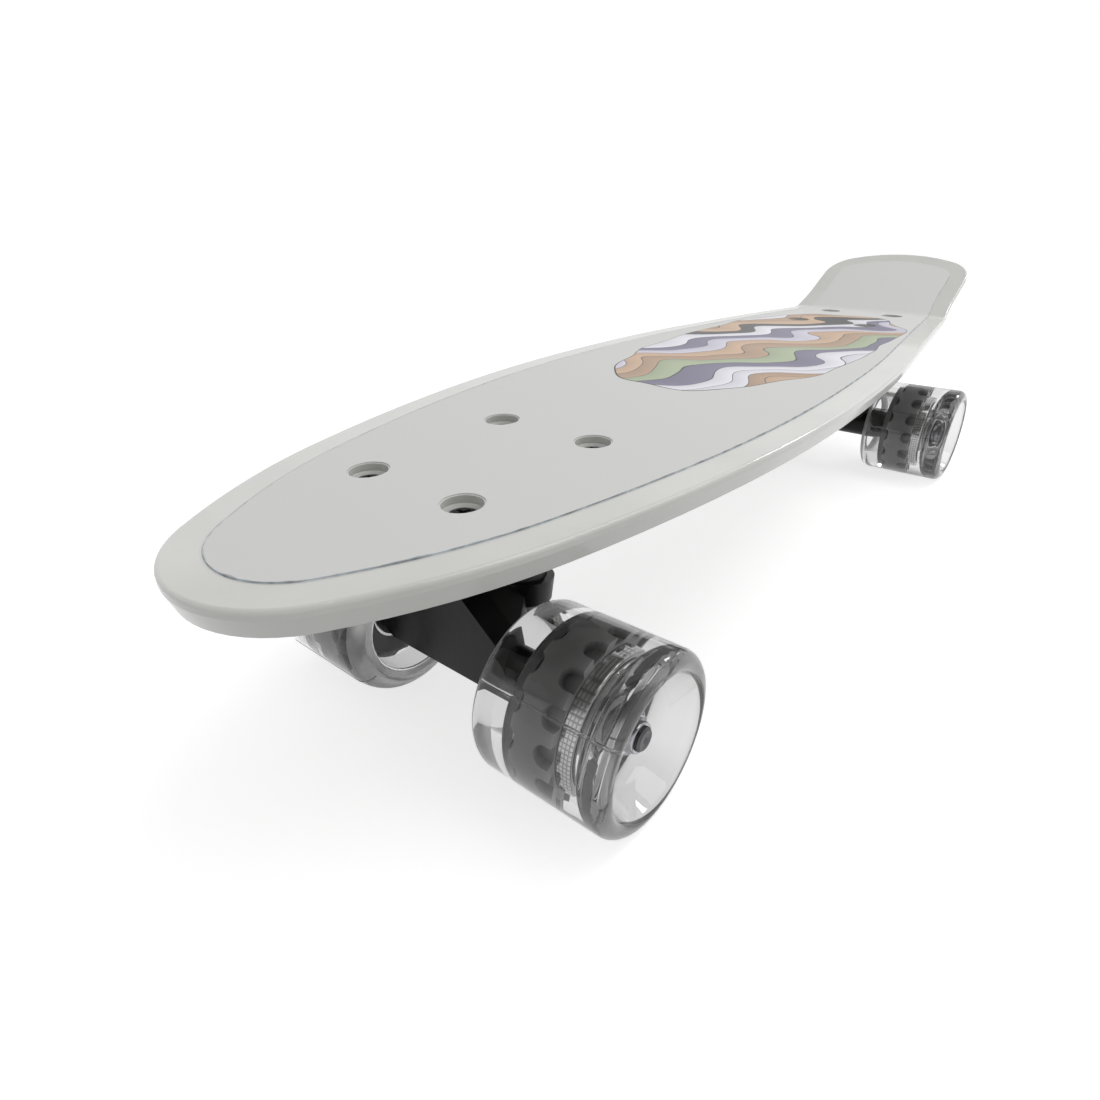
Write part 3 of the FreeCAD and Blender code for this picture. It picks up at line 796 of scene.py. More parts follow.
@dataclass(frozen=True)
class CorePlasticWithPaintedLight(Finish):
    """Moulded grey core plastic, satin, with painted shade nearly black in its notches and a painted
    highlight along its rims.

    The core's points hold a painted light value: -1 painted shade deep in a notch, 0 on the band, 1 painted
    highlight on a rim.
    """

    painted_shade: str = "121212"
    painted_highlight: str = "9c9c9c"
    cloud_mm: float = 12.0
    clouds: tuple[float, float] = (0.85, 1.12)

    def paint(self, on: Shading) -> None:
        """Blends towards the painted shade colour and the painted highlight colour by the painted light
        value.

        Args:
            on: The material's nodes.
        """
        tone = add_node(on.tree, "Attribute", attribute_name="tone").outputs["Fac"]
        colour = on.clouded(on.noise(self.cloud_mm, 3.0), *self.clouds)
        # Painted light: below 0 the colour goes towards the painted shade, above 0 towards the painted
        # highlight.
        for full, far in ((-1.0, self.painted_shade), (1.0, self.painted_highlight)):
            colour = on.mix(on.spread(tone, 0.0, 1.0, (0.0, full)), colour, linear(far))
        on.set("Base Color", colour)


class Finishes:
    """Every finish of the object, each made once."""

    plan: tuple[Finish, ...] = (
        MouldedPolypropylene("moulded_polypropylene", "board_plastic", "d0d0cc", 0.34),
        PrintedFilm("printed_film", "board_film", "d0d0ce", 0.5),
        Clouded("film_edge", "film_edge", "b7bdc0", 0.5),
        BlackPaint("stoved_black_paint", "black_paint", "0b0b0c", 0.34),
        Clouded("black_bushing_urethane", "black_urethane", "0b0b0b", 0.5, 4.0, (0.7, 1.6)),
        BlackPaint("black_oxide_steel", "black_steel", "0d0d0e", 0.33, 2.0, 0.02),
        Steel("plain_turned_steel", "dark_steel", "58585a", 0.34),
        ClearUrethane("clear_cast_urethane", "clear_urethane", "e2e2e2", 0.01),
        TurnedUrethane("turned_urethane_face", "turned_urethane", "bababa", 0.4),
        # Core plastic with painted shade in its notches and a painted highlight along its rims.
        CorePlasticWithPaintedLight("moulded_core_plastic", "grey_core", "6c6c6c", 0.42),
        Steel("ground_bearing_steel", "bearing_steel", "c4c4c4", 0.16),
        Steel("bright_zinc_plate", "bright_steel", "a4a4a8", 0.12),
        KnurledSteel("knurled_steel", "knurled_steel", "c0c0c0", 0.12),
    )

    def __init__(self) -> None:
        """Makes the materials."""
        self.by_slot = {finish.slot: finish.build() for finish in self.plan}

    def dress(self, piece: bpy.types.Object, *slots: str) -> None:
        """Gives a piece the materials of one or more slots, in the order of its material numbers.

        Args:
            piece: Object to dress.
            *slots: Names of finishes.
        """
        if piece.data.materials:
            piece.data.materials.clear()
        for slot in slots:
            piece.data.materials.append(self.by_slot[slot])


def hang(piece: bpy.types.Object, body: str, slot: str, *nodes: str) -> None:
    """Says what a piece moves with, and hides the CAD nodes it stands for.

    Args:
        piece: The piece.
        body: Body it moves with.
        slot: The record's material slot; not used.
        *nodes: CAD nodes that it replaces.
    """
    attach(piece, body)
    if nodes:
        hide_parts(*nodes)
    LOG.info("%s: %d faces, moves with %s", piece.name, len(piece.data.polygons), body)


# Pieces

@dataclass
class Board:
    """The board's shape in plan and from the side, for what lies on it."""

    length: float = 559.5
    width: float = 150.8
    tip_radius: float = 37.7
    tip_turn: float = math.radians(55.9)
    shoulder_turn: float = math.radians(75.6)
    side_radius: float = 594.1
    flank_fullness: float = 0.6722
    neck_from_tail: float = 57.8
    neck_radius: float = 150.0
    tail_width: float = 98.4
    tail_corner: float = 22.0
    tail_end_radius: float = 90.0
    arch_radius: float = 6200.0
    crown: tuple[float, float] = (-30.05, 100.4)
    kink_from_tail: float = 73.4
    kick: float = math.radians(25.0)
    kink_reach: float = 3.5
    film_margin: float = 11.0
    edge_width: float = 0.2
    edge_wobble: float = 2.2
    edge_least: float = 0.05
    edge_rows: tuple[tuple[float, float], ...] = ((-0.25, 0.03), (-0.03, 0.06), (-0.02, 0.43))
    edge_waves: tuple[tuple[float, float], ...] = ((0.031, 0.4), (0.083, 2.1), (0.37, 4.4), (0.91, 1.2))

    def arch(self, x: Any) -> Any:
        """Height of the arc without the kick.

        Args:
            x: One place along the board, or many.

        Returns:
            The height there.
        """
        return self.crown[1] - self.arch_radius + np.sqrt(self.arch_radius ** 2 - (x - self.crown[0]) ** 2)

    def height(self, x: Array) -> Array:
        """Height of the board's top: an arc of the arch's radius, then a straight kick.

        Slopes pass from one to the other in step with the distance, over kink_reach either side.

        Args:
            x: Places along the board.

        Returns:
            The height at each.
        """
        kink = self.kink_from_tail - self.length / 2
        start = kink + self.kink_reach
        first = -(start - self.crown[0]) / self.arch_radius
        last = -math.tan(self.kick)
        gone = np.clip(start - x, 0, 2 * self.kink_reach)
        bend = self.arch(start) - first * gone - (last - first) * gone ** 2 / (4 * self.kink_reach)
        beyond = np.maximum(kink - self.kink_reach - x, 0)
        return np.where(x > start, self.arch(np.maximum(x, start)), bend - last * beyond)

    def half_outline(self) -> Array:
        """Points of the +Y half of the outline, nose tip first.

        It is a chain of arcs, each tangent to the last: tip, shoulder, side and flank. Then come a
        straight run, the rounded neck, the tail's side, its corner and its bowed end.

        Returns:
            Points (x, y), one a row.
        """
        tip, turned = math.sin(self.tip_turn), math.sin(self.shoulder_turn)
        rise = self.width / 2 - self.tip_radius * tip - self.side_radius * (1 - turned)
        shoulder = rise / (turned - tip)
        x, y, start = self.length / 2, 0.0, 0.0
        rows = []
        for radius, stop in ((self.tip_radius, self.tip_turn), (shoulder, self.shoulder_turn),
                             (self.side_radius, math.pi / 2)):
            turn = np.linspace(start, stop, 60)
            arc = np.column_stack([np.cos(turn) - math.cos(start), np.sin(turn) - math.sin(start)])
            arc = arc * radius + (x, y)
            rows.append(arc[:-1])
            x, y, start = *arc[-1], stop
        neck = (-self.length / 2 + self.neck_from_tail, self.tail_width / 2)
        run, drop = x - neck[0], y - neck[1]
        flank = self.flank_fullness * (run ** 2 + drop ** 2) / (2 * drop)
        across = math.hypot(run, flank - drop)
        leave = math.atan2(flank - drop, -run) - math.acos(flank / across)
        turn = np.linspace(math.pi / 2, leave, 80)
        rows.append(np.column_stack([x + flank * np.cos(turn), y - flank + flank * np.sin(turn)]))
        end_x = -self.length / 2 + self.tail_end_radius
        corner_y = neck[1] - self.tail_corner
        corner_x = end_x - math.sqrt((self.tail_end_radius - self.tail_corner) ** 2 - corner_y ** 2)
        bend = rounded_profile([(*rows[-1][-1], 0), (*neck, self.neck_radius), (corner_x, neck[1], 0)],
                               False, 30)
        rows.append(bend[1:-1])
        stop = math.pi - math.atan2(corner_y, end_x - corner_x)
        turn = np.linspace(math.pi / 2, stop, 30)
        rows.append(np.column_stack([corner_x + self.tail_corner * np.cos(turn),
                                     corner_y + self.tail_corner * np.sin(turn)]))
        turn = np.linspace(stop, math.pi, 30)[1:]
        rows.append(np.column_stack([end_x + self.tail_end_radius * np.cos(turn),
                                     self.tail_end_radius * np.sin(turn)]))
        return np.vstack(rows)

    def loop(self, spacing: float = 1.0) -> tuple[Array, Array]:
        """The whole outline at an even spacing, with its inward direction.

        Args:
            spacing: Distance between points.

        Returns:
            Points and inward directions, one (x, y) a row.
        """
        upper = self.half_outline()
        ring = np.vstack([upper, upper[-2:0:-1] * (1, -1), upper[:1]])
        along = np.concatenate([[0], np.cumsum(np.hypot(*np.diff(ring, axis=0).T))])
        at = np.linspace(0, along[-1], int(along[-1] / spacing), endpoint=False)
        even = np.column_stack([np.interp(at, along, ring[:, k]) for k in (0, 1)])
        tangent = np.roll(even, -1, 0) - np.roll(even, 1, 0)
        tangent /= np.hypot(*tangent.T)[:, None]
        return even, np.column_stack([-tangent[:, 1], tangent[:, 0]])

    def film_edge(self) -> bpy.types.Object:
        """A thin strip over the film's edge, from the board up onto the film.

        Its inner width is the edge width, changed along the way by a sum of sines of unlike pitch. Each
        of edge_rows is a reach inwards from the film's edge and a lift over the board.

        Returns:
            The strip.
        """
        points, inward = self.loop()
        at = np.arange(len(points))
        wobble = sum(np.sin(at * pitch + start) for pitch, start in self.edge_waves) / len(self.edge_waves)
        width = np.maximum(self.edge_width * (1 + self.edge_wobble * wobble), self.edge_least)
        reaches = [(np.full(len(points), reach), lift) for reach, lift in self.edge_rows]
        rows = []
        for reach, lift in reaches + [(width, self.edge_rows[-1][1])]:
            place = points + inward * (self.film_margin + reach)[:, None]
            rows.append(np.column_stack([place, self.height(place[:, 0]) + lift]))
        faces = grid_faces(len(rows), len(points), False, True).tolist()
        return add_mesh("film_cut_edge", np.vstack(rows), faces)

    def build(self, finishes: Finishes) -> None:
        """Makes, dresses and hangs the film's edge.

        Args:
            finishes: The object's materials.
        """
        piece = self.film_edge()
        finishes.dress(piece, "film_edge")
        hang(piece, "board", "board_film")


@dataclass
class MountingScrews:
    """Four cross recess screws of one truck, sunk in the board."""

    end: End
    board: Board
    axle_x: float
    setback: float = 13.0
    spacing: tuple[float, float] = (60.0, 41.3)
    head_radius: float = 4.4
    head_top: float = 2.3
    dome: float = 0.5
    head_height: float = 5.7
    shank_radius: float = 2.3
    length: float = 22.0
    recess_reach: float = 2.5
    recess_half_width: float = 0.55
    recess_depth: float = 1.5
    recess_slope: float = 0.25
    first_turn: float = 0.5
    turn_step: float = 1.9

    def screw(self, turn: float) -> Surface:
        """One screw with its head's top at height 0.

        The head is a dome, z = -dome r^2 / R^2. The recess lowers it inside a cross of two bars, with
        sides that slope over a short way.

        Args:
            turn: Angle of the recess.

        Returns:
            Points and faces.
        """
        rings = np.linspace(0, self.head_radius - 0.5, 34)
        top = np.column_stack([rings, -self.dome * (rings / self.head_radius) ** 2])
        head, shank, below = self.head_radius, self.shank_radius, -self.head_height
        rest = rounded_profile([(head - 0.4, -self.dome + 0.1, 0), (head, -self.dome - 0.1, 0.3),
                                (head, below, 0), (shank, below, 0), (shank, -self.length, 0),
                                (0, -self.length, 0)], False, 5)
        form = Turned(np.vstack([top, rest]), 120)
        radius, angle, height = form.grid()
        across, along = radius * np.cos(angle - turn), radius * np.sin(angle - turn)
        bars = [np.minimum(self.recess_half_width - np.abs(a), self.recess_reach - np.abs(b))
                for a, b in ((across, along), (along, across))]
        inside = np.clip(np.maximum(*bars) / self.recess_slope, 0, 1)
        on_top = np.arange(len(form.profile))[:, None] < len(rings)
        return form.surface(np.stack([radius, angle, height - self.recess_depth * inside * on_top]))

    def build(self, finishes: Finishes) -> None:
        """Makes, dresses and hangs the screws.

        Args:
            finishes: The object's materials.
        """
        middle = self.axle_x - self.end.value * self.setback
        screws: list[Surface] = []
        for number, (sx, sy) in enumerate(((-1, -1), (-1, 1), (1, -1), (1, 1))):
            x, y = middle + sx * self.spacing[0] / 2, sy * self.spacing[1] / 2
            top = float(self.board.height(np.array([x]))[0]) - self.head_top
            points, faces = self.screw(self.first_turn + self.turn_step * number)
            screws.append((points + (x, y, top), faces))
        piece = add_mesh(f"{self.end.label}_cross_head_screws", *merged(screws))
        finishes.dress(piece, "black_steel")
        hang(piece, "board", "black_steel", f"{self.end.label}_mounting_screws")


@dataclass
class Axle:
    """One truck's axle, with its threaded ends."""

    end: End
    centre: Corner
    radius: float = 4.0
    reach: float = 73.3
    chamfer: float = 0.7
    thread_start: float = 64.5
    thread_pitch: float = 1.0
    thread_depth: float = 0.35
    dimple: float = 1.3
    dimple_depth: float = 0.6

    def build(self, finishes: Finishes) -> None:
        """Makes, dresses and hangs the axle.

        Args:
            finishes: The object's materials.
        """
        tip = self.reach - self.chamfer
        along = np.arange(self.thread_start, tip, self.thread_pitch / 4)
        wave = (1 - np.cos((along - self.thread_start) * 2 * math.pi / self.thread_pitch)) / 2
        half = np.vstack([np.column_stack([self.radius - self.thread_depth * wave, along]),
                          [(self.radius, tip), (self.radius - self.chamfer, self.reach),
                           (self.dimple, self.reach), (0, self.reach - self.dimple * self.dimple_depth)]])
        rod = Turned(np.vstack([half[::-1] * (1, -1), half]), 64)
        piece = add_surface(f"{self.end.label}_threaded_axle", [rod.surface()], self.centre, (0, 1, 0))
        finishes.dress(piece, "dark_steel")
        hang(piece, f"{self.end.label}_truck", "dark_steel", f"{self.end.label}_axle")


@dataclass
class Wheel:
    """One wheel with its bearings and nut, built outwards from the middle of the board.

    Heights in the profiles are distances from the board's middle plane.
    """

    end: End
    side: Side
    axle: Corner
    radius: float = 29.5
    inner_face: float = 28.0
    outer_face: float = 78.5
    tread_rounding: float = 6.0
    outer_rounding: float = 4.4
    lip_rounding: float = 2.3
    recess_radius: float = 19.5
    bearing_start: float = 39.0
    bearing_width: float = 7.0
    bearing_end: float = 63.0
    band_start: float = 42.2
    flange: float = 57.0
    core_radius: float = 20.5
    step_radius: float = 17.5
    drum_radius: float = 15.4
    drum_top: float = 62.4
    mouth_radius: float = 13.5
    shoulder_radius: float = 9.5
    bearing_radius: float = 11.0
    eye_radius: float = 6.2
    lip_radius: float = 23.4
    dish_foot: float = 19.0
    dish_floor: float = 64.0
    bite: float = 0.2
    notches: int = 12
    notch_half: float = 3.2
    notch_length: float = 5.6
    inner_notch_length: float = 1.9
    notch_depth: float = 3.4
    # Reach of the painted highlight along the band's rims.
    rim_glow: float = 1.6
    seam_turn: float = -0.59
    seam_half: float = 0.55
    seam_height: float = 0.2
    groove_pitch: float = 0.62
    groove_depth: float = 0.1
    turned_depth: float = 3.2
    nut_flats: float = 12.7
    nut_start: float = 64.0
    nut_hex: float = 5.6
    nut_height: float = 8.0
    nut_collar: float = 5.4
    nut_eye: float = 4.6
    nut_turn: float = 0.35
    tyre_facets: int = 224
    facets_per_notch: int = 42
    race_wall: float = 1.5
    shield_inset: float = 0.35
    shield_thickness: float = 0.5
    ridge_height: float = 0.25
    ridge: tuple[float, float, float, float] = (7.2, 7.5, 8.6, 8.9)
    facets: int = 96
    # Painted highlight from the flange out and painted shade inboard of it, off the band.
    drum_tone: float = 0.5
    step_tone: float = -0.25
    notch_slope: float = 0.4
    # Strength of the painted highlight along the band's rims.
    glow: float = 0.55

    @property
    def label(self) -> str:
        """Start of the names of this wheel's nodes."""
        return f"{self.end.label}_{self.side.label}"

    @property
    def axis(self) -> Corner:
        """Outward direction."""
        return 0.0, float(self.side.value), 0.0

    def tyre(self) -> list[Surface]:
        """Tyre: rounded tread, inboard ring with turned grooves and a recess, smooth dish outboard.

        Its bore lies a little inside the core, so that core and tyre are seen as bonded. The grooves
        are a cosine of the radius.

        Returns:
            The tyre's surface.
        """
        bite = self.bite
        outside = rounded_profile([
            (self.recess_radius, self.bearing_start + bite, 0), (self.recess_radius, self.inner_face, 0.7),
            (self.radius, self.inner_face, self.tread_rounding),
            (self.radius, self.outer_face, self.outer_rounding),
            (self.lip_radius, self.outer_face, self.lip_rounding),
            (self.dish_foot, self.dish_floor + 1.5, 7.0), (self.mouth_radius - bite, self.dish_floor, 0),
        ], closed=False, steps=16)
        first, last = self.recess_radius + 1.0, self.radius - self.tread_rounding - 0.3
        rings = np.arange(first, last, self.groove_pitch / 4)
        ripple = self.groove_depth * (1 - np.cos((rings - first) * 2 * math.pi / self.groove_pitch)) / 2
        split = int(np.argmax(outside[:, 0] > first))
        mouth, drum, step = (r - bite for r in (self.mouth_radius, self.drum_radius, self.step_radius))
        foot = self.core_radius - self.notch_depth - bite
        top, flange, band = self.drum_top - bite, self.flange - bite, self.band_start + bite
        bore = [(mouth, top), (drum, top), (drum, flange), (foot, flange), (foot, band), (step, band),
                (step, self.bearing_start + bite)]
        profile = np.vstack([outside[:split], np.column_stack([rings, self.inner_face + ripple]),
                             outside[split:], bore])
        on_tread = outside[(outside[:, 0] > first) & (outside[:, 0] > self.lip_radius + 1.0)]
        rubber = Turned(profile, self.tyre_facets, closed=True)
        return [merged([rubber.surface(), self.parting_line(on_tread)])]

    def parting_line(self, tread: Array) -> Surface:
        """Fine raised line along the tread where the mould's halves met.

        It is a low rib, its section a hexagon with its foot sunk in the tread, carried along the
        tread's profile at one angle.

        Args:
            tread: Profile of the tread, (radius, height) a row.

        Returns:
            Points and faces.
        """
        section = np.array([(-1, 0), (-0.5, 0.8), (0.5, 0.8), (1, 0), (0.5, -0.5), (-0.5, -0.5)])
        radius = tread[:, :1] + section[:, 1] * self.seam_height
        angle = self.seam_turn + section[:, 0] * self.seam_half / self.radius
        rows = np.stack([radius * np.cos(angle), radius * np.sin(angle),
                         np.broadcast_to(tread[:, 1:], radius.shape)], axis=-1)
        faces = grid_faces(len(tread), len(section), False, True).tolist()
        last = len(tread) * len(section)
        ends = [list(range(len(section)))[::-1], list(range(last - len(section), last))]
        return rows.reshape(-1, 3), faces + ends

    def core_form(self) -> tuple[Turned, Array, Array]:
        """Core: notched band, stepped inboard ring and outboard drum.

        The band's radius falls by the notch depth where the point, laid flat round the band, is inside
        a slot that opens at the outboard rim and ends in a half circle, or in a short half oval at the
        inboard rim. The painted light value is painted shade where the band is sunk, strongest at a slot's
        closed end, and a painted highlight near a rim, falling off as an exponential of the distance. Off the
        band, points inboard of the flange get painted shade and the rest a painted highlight.

        Returns:
            The turned form, its shaped grid and each point's painted light value, from -1 (painted shade) to
            1 (painted highlight).
        """
        start, stop = self.bearing_start, self.bearing_end
        near, far = start + self.bearing_width, stop - self.bearing_width
        step, drum, mouth, seat = self.step_radius, self.drum_radius, self.mouth_radius, self.bearing_radius
        rim = rounded_profile([(seat, start, 0), (step, start, 0.4), (step, self.band_start, 0)], False)
        band = np.linspace(self.band_start, self.flange, 80)
        hub = rounded_profile([
            (drum, self.flange, 0), (drum, self.drum_top, 0.6), (mouth, self.drum_top, 0), (mouth, stop, 0.4),
            (seat, stop, 0), (seat, far, 0), (self.shoulder_radius, far, 0), (self.shoulder_radius, near, 0),
            (seat, near, 0)], False)
        outline = np.vstack([rim, np.column_stack([np.full(len(band), self.core_radius), band]), hub])
        form = Turned(outline, self.notches * self.facets_per_notch, closed=True)
        radius, angle, height = form.grid()
        pitch = 2 * math.pi / self.notches
        across = ((angle + pitch / 2) % pitch - pitch / 2) * self.core_radius
        inboard, outboard = height - self.band_start, self.flange - height
        beyond = np.maximum(outboard - self.notch_length + self.notch_half, 0)
        slot = np.hypot(across, beyond) / self.notch_half
        nick = np.hypot(across / self.notch_half, inboard / self.inner_notch_length)
        sunk = np.clip((1 - np.minimum(slot, nick)) * self.notch_half / self.notch_slope, 0, 1)
        on_band = radius > self.core_radius - 0.01
        sunk = np.where(on_band, sunk * sunk * (3 - 2 * sunk), 0.0)
        # Painted shade in the notches, strongest at a slot's closed end and weaker where it opens at the
        # flange.
        notch_shade_fade = np.where(slot < nick, np.clip(outboard / self.notch_length, 0.2, 1), 1.0)
        # Painted highlight along both rims of the band.
        glow = np.exp(-np.minimum(inboard, outboard) / self.rim_glow) * self.glow
        # Painted shade on the inboard step and bore, painted highlight from the flange out.
        rest = np.where(height < self.flange - 0.1, self.step_tone, self.drum_tone)
        tone = np.where(on_band, glow * (1 - sunk) - sunk * notch_shade_fade, rest)
        return form, np.stack([radius - self.notch_depth * sunk, angle, height]), tone

    def core(self) -> bpy.types.Object:
        """Makes the core, with its painted light value stored for the plastic and its drum given the second
        material.

        Returns:
            The core.
        """
        form, grid, tone = self.core_form()
        piece = add_surface(f"{self.label}_notched_core", [form.surface(grid)], self.axle, self.axis)
        # Stores each point's painted light value for the core plastic.
        layer = piece.data.attributes.new("tone", "FLOAT", "POINT")
        layer.data.foreach_set("value", tone.ravel())
        self.mark(piece, (self.mouth_radius + 0.1, self.core_radius), (self.flange + 0.01, self.bearing_end))
        return piece

    def mark(self, piece: bpy.types.Object, radii: tuple[float, float], heights: tuple[float, float]) -> None:
        """Gives the second material to the faces of a ring.

        Args:
            piece: One of the wheel's pieces.
            radii: Least and greatest radius of the ring.
            heights: Least and greatest distance from the board's middle.
        """
        centres = np.empty(len(piece.data.polygons) * 3)
        piece.data.polygons.foreach_get("center", centres)
        x, y, z = (centres.reshape(-1, 3) / MM - self.axle).T
        radius, height = np.hypot(x, z), np.abs(y)
        inside = (radius > radii[0]) & (radius < radii[1]) & (height > heights[0]) & (height < heights[1])
        piece.data.polygons.foreach_set("material_index", inside.astype(np.int32))

    def bearings(self) -> list[Surface]:
        """Outer races and black shields of both bearings.

        Returns:
            The races' surface, then the shields'.
        """
        races: list[Surface] = []
        shields: list[Surface] = []
        inner, inset, thick = self.bearing_radius - self.race_wall, self.shield_inset, self.shield_thickness
        for start in (self.bearing_start, self.bearing_end - self.bearing_width):
            stop = start + self.bearing_width
            race = rounded_profile([(inner, start, 0.2), (self.bearing_radius, start, 0.5),
                                    (self.bearing_radius, stop, 0.5), (inner, stop, 0.2)], True, 5)
            races.append(Turned(race, self.facets, closed=True).surface())
            for face, inwards in ((start, 1), (stop, -1)):
                low, high = sorted((face + inwards * inset, face + inwards * (inset + thick)))
                top = face + inwards * (inset - self.ridge_height)
                foot = low if inwards > 0 else high
                ridge = [(r, z, 0) for r, z in zip(self.ridge, (foot, top, top, foot))]
                corners = [(self.eye_radius, low, 0), (inner, low, 0), (inner, high, 0),
                           (self.eye_radius, high, 0)]
                if inwards > 0:
                    corners[1:1] = ridge
                else:
                    corners[3:3] = ridge[::-1]
                shields.append(Turned(rounded_profile(corners, True), self.facets, closed=True).surface())
        return [merged(races), merged(shields)]

    def nut(self) -> list[Surface]:
        """Lock nut: a hexagon whose corners are turned off, a domed collar and its black locking ring.

        The hexagon's radius at angle a is the apothem over cos(a'), with a' the angle from the nearest
        flat's middle, and is cut down to the chamfer cone's.

        Returns:
            The surface of the hexagon and collar, then the ring's.
        """
        corner = self.nut_flats / math.sqrt(3)
        start, stop = self.nut_start, self.nut_start + self.nut_hex
        cone = [(0, start), (corner - 0.8, start), (corner + 0.1, start + 0.5), (corner + 0.1, stop - 0.6),
                (corner - 1.0, stop), (self.nut_collar, stop), (0, stop)]
        form = Turned(rounded_profile([(r, z, 0) for r, z in cone], False), 240)
        radius, angle, height = form.grid()
        from_flat = (angle + self.nut_turn) % (math.pi / 3) - math.pi / 6
        radius = np.minimum(radius, self.nut_flats / 2 / np.cos(from_flat))
        top = self.nut_start + self.nut_height
        collar, eye = self.nut_collar, self.nut_eye
        domed = rounded_profile([(collar + 0.5, stop - 0.2, 0), (collar, stop + 0.4, 0.4),
                                 (collar - 0.2, top, 1.3), (eye, top, 0.3), (eye, stop - 0.2, 0)], True, 8)
        bore, rim = eye - 0.7, eye + 0.1
        ring = rounded_profile([(bore, top - 0.5, 0), (rim, top - 0.5, 0), (rim, stop, 0), (bore, stop, 0)],
                               True)
        return [merged([form.surface(np.stack([radius, angle, height])),
                        Turned(domed, self.facets, closed=True).surface()]),
                Turned(ring, 64, closed=True).surface()]

    def build(self, finishes: Finishes) -> None:
        """Makes, dresses and hangs this wheel's pieces.

        Args:
            finishes: The object's materials.
        """
        wheel, truck = f"{self.label}_wheel", f"{self.end.label}_truck"
        core = self.core()
        finishes.dress(core, "grey_core", "knurled_steel")
        hang(core, wheel, "grey_core", f"{self.label}_core")
        plan = (("clear_tyre", self.tyre(), wheel, "tyre", ("clear_urethane", "turned_urethane")),
                ("shielded_bearings", self.bearings(), wheel, "bearing_outer_races",
                 ("bearing_steel", "black_urethane")),
                ("domed_lock_nut", self.nut(), truck, "axle_nut", ("bright_steel", "black_urethane")))
        for name, surfaces, rides_on, node, slots in plan:
            piece = add_surface(f"{self.label}_{name}", surfaces, self.axle, self.axis)
            finishes.dress(piece, *slots)
            hang(piece, rides_on, slots[0], f"{self.label}_{node}")
            if node == "tyre":
                self.mark(piece, (self.recess_radius + 0.8, self.radius - 0.9),
                          (self.inner_face - 0.5, self.inner_face + self.turned_depth))


# Camera, light and floor

@dataclass
class Camera:
    """The photograph's viewpoint, found by fitting the board's holes, rim and wheels to it.

    Azimuth and elevation are those of the direction from the board back to the lens.
    """

    place: Corner = (324.84, 147.07, 169.21)
    azimuth: float = 129.62
    elevation: float = 27.34
    roll: float = -0.32
    focal_pixels: float = 675.54
    frame_pixels: float = 1100.0
    sensor: float = 36.0

    def build(self) -> bpy.types.Object:
        """Makes the camera and gives it to the scene.

        Returns:
            The camera object.
        """
        data = bpy.data.cameras.new("camera")
        data.sensor_width = self.sensor
        data.lens = self.focal_pixels / self.frame_pixels * self.sensor
        data.clip_start = 0.01
        camera = bpy.data.objects.new("camera", data)
        bpy.context.scene.collection.objects.link(camera)
        turn, lift, tilt = (math.radians(a) for a in (self.azimuth, self.elevation, self.roll))
        back = Vector((math.sin(turn) * math.cos(lift), -math.cos(turn) * math.cos(lift), math.sin(lift)))
        right = (-back).cross(Vector((0, 0, 1))).normalized()
        up = right.cross(-back)
        tilted_right = math.cos(tilt) * right + math.sin(tilt) * up
        tilted_up = math.cos(tilt) * up - math.sin(tilt) * right
        basis = Matrix((tilted_right, tilted_up, back)).transposed().to_4x4()
        camera.matrix_world = Matrix.Translation(Vector(self.place) * MM) @ basis
        bpy.context.scene.camera = camera
        return camera


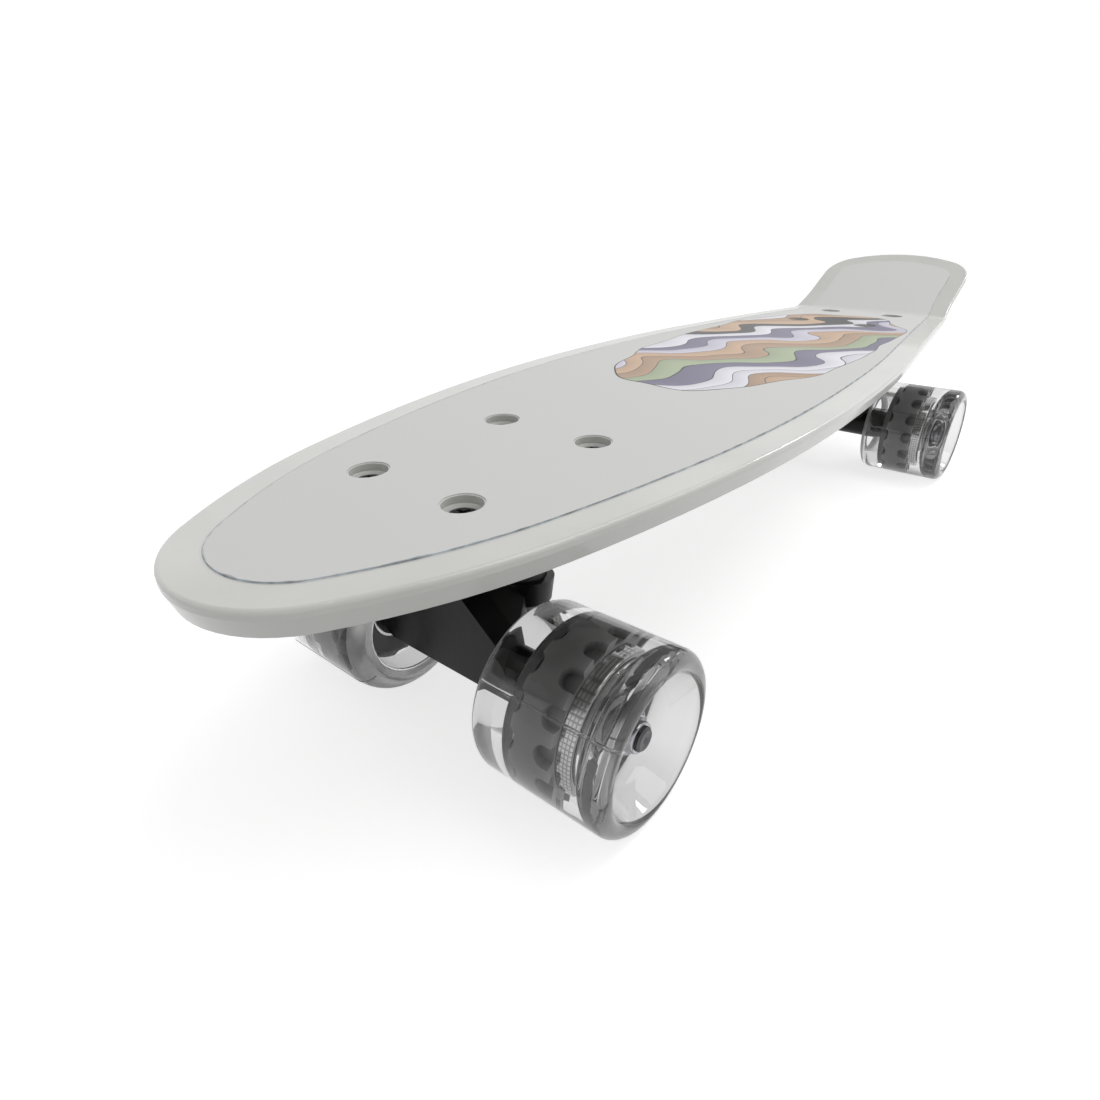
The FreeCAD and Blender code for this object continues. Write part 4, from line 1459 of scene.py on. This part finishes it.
@dataclass
class Studio:
    """White sweep, a soft lamp overhead, a small one for the edges and a surround dimmer at the horizon.

    Metal and glass see the surround white up to dark_from, a height as a share of 1, and then darker
    towards the ceiling, as above a lit sweep.
    """

    floor_half: float = 3000.0
    floor_colour: str = "b4b4b4"
    floor_bounce: str = "c8c8c8"
    floor_lift: float = 0.72
    zenith: float = 0.8
    horizon: float = 0.3
    dark_from: float = 0.42
    dark_at: float = 0.8
    ceiling: float = 0.12
    key_power: float = 7.0
    key_size: float = 1000.0
    key_place: Corner = (-300.0, 520.0, 1300.0)
    edge_power: float = 2.2
    edge_size: float = 240.0
    edge_place: Corner = (-1000.0, 360.0, 800.0)

    def build(self) -> None:
        """Makes the floor, the lamps and the surround."""
        half = self.floor_half
        corners = np.array([[-half, -half, 0], [half, -half, 0], [half, half, 0], [-half, half, 0]])
        floor = add_mesh("studio_floor", corners, [[0, 1, 2, 3]])
        floor.data.materials.append(self.floor_material())
        self.lamp("key_lamp", self.key_place, self.key_size, self.key_power)
        self.lamp("edge_lamp", self.edge_place, self.edge_size, self.edge_power)
        self.world()

    def floor_material(self) -> bpy.types.Material:
        """White floor that keeps the shadow and is lifted to white for the camera, glass and gloss.

        Diffuse rays see it a little darker, as a studio's far floor is.

        Returns:
            The floor's material.
        """
        material = bpy.data.materials.new("white_sweep")
        material.use_nodes = True
        tree = material.node_tree
        tree.nodes.clear()
        seen = self.seen_directly(tree)
        colour = add_node(tree, "Mix", {0: seen, 6: linear(self.floor_bounce), 7: linear(self.floor_colour)},
                          data_type="RGBA").outputs[2]
        strength = add_math(tree, "MULTIPLY", seen, self.floor_lift)
        matt = add_node(tree, "BsdfDiffuse", {"Color": colour}).outputs["BSDF"]
        lift = add_node(tree, "Emission", {"Color": WHITE, "Strength": strength}).outputs["Emission"]
        both = add_node(tree, "AddShader", {0: matt, 1: lift})
        add_node(tree, "OutputMaterial", {"Surface": both.outputs["Shader"]})
        return material

    def seen_directly(self, tree: Tree) -> Socket:
        """1 for camera, glossy and transmission rays, 0 for the rest.

        Args:
            tree: Node tree that takes the nodes.

        Returns:
            The value's socket.
        """
        rays = add_node(tree, "LightPath").outputs
        first = add_math(tree, "MAXIMUM", rays["Is Camera Ray"], rays["Is Glossy Ray"])
        return add_math(tree, "MAXIMUM", first, rays["Is Transmission Ray"])

    def lamp(self, name: str, place: Sequence[float], size: float, power: float) -> None:
        """Adds a square soft lamp that faces the board's middle.

        Args:
            name: Name of the lamp.
            place: Where it hangs, in millimetres.
            size: Length of its side, in millimetres.
            power: Its power in watts.
        """
        data = bpy.data.lights.new(name, "AREA")
        data.energy = power
        data.size = size * MM
        lamp = bpy.data.objects.new(name, data)
        lamp.location = Vector(place) * MM
        lamp.rotation_euler = Vector(place).to_track_quat("Z", "Y").to_euler()
        bpy.context.scene.collection.objects.link(lamp)

    def world(self) -> None:
        """Makes the white surround, seen as plain white and lighting less from the horizon."""
        world = bpy.data.worlds.new("white_surround")
        bpy.context.scene.world = world
        world.use_nodes = True
        tree = world.node_tree
        tree.nodes.clear()
        generated = add_node(tree, "TexCoord").outputs["Generated"]
        height = add_node(tree, "SeparateXYZ", {"Vector": generated}).outputs["Z"]
        inputs = {"Value": height, "To Min": self.horizon, "To Max": self.zenith}
        strength = add_node(tree, "MapRange", inputs).outputs["Result"]
        inputs = {"Value": height, "From Min": self.dark_from, "From Max": self.dark_at,
                  "To Min": 1.0, "To Max": self.ceiling}
        dimmed = add_node(tree, "MapRange", inputs).outputs["Result"]
        shown = add_math(tree, "MAXIMUM", add_node(tree, "LightPath").outputs["Is Camera Ray"], dimmed)
        light, seen = (add_node(tree, "Background", {"Color": WHITE, "Strength": value}).outputs[0]
                       for value in (strength, shown))
        mix = add_node(tree, "MixShader", {"Fac": self.seen_directly(tree), 1: light, 2: seen})
        add_node(tree, "OutputWorld", {"Surface": mix.outputs["Shader"]})


def dress_frame(frame: dict, finishes: Finishes) -> None:
    """Gives every carried-over CAD node the material of its slot.

    Args:
        finishes: The object's materials.
    """
    slots = {part["node"]: part["material_slot"] for part in frame["record"]["subparts"]}
    for name, node in frame["nodes"].items():
        finishes.dress(node, slots[name])


def main() -> None:
    """Builds the whole scene."""
    logging.basicConfig(level=logging.INFO)
    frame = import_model()
    Camera().build()
    finishes = Finishes()
    dress_frame(frame, finishes)
    board = Board()
    board.build(finishes)
    for end in End:
        low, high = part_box(f"{end.label}_axle")
        centre = ((low.x + high.x) / 2 / MM, 0.0, (low.z + high.z) / 2 / MM)
        MountingScrews(end, board, centre[0]).build(finishes)
        Axle(end, centre).build(finishes)
        for side in Side:
            Wheel(end, side, centre).build(finishes)
    Studio().build()
    bpy.context.scene.view_settings.view_transform = "Standard"


if __name__ == "__main__":
    main()
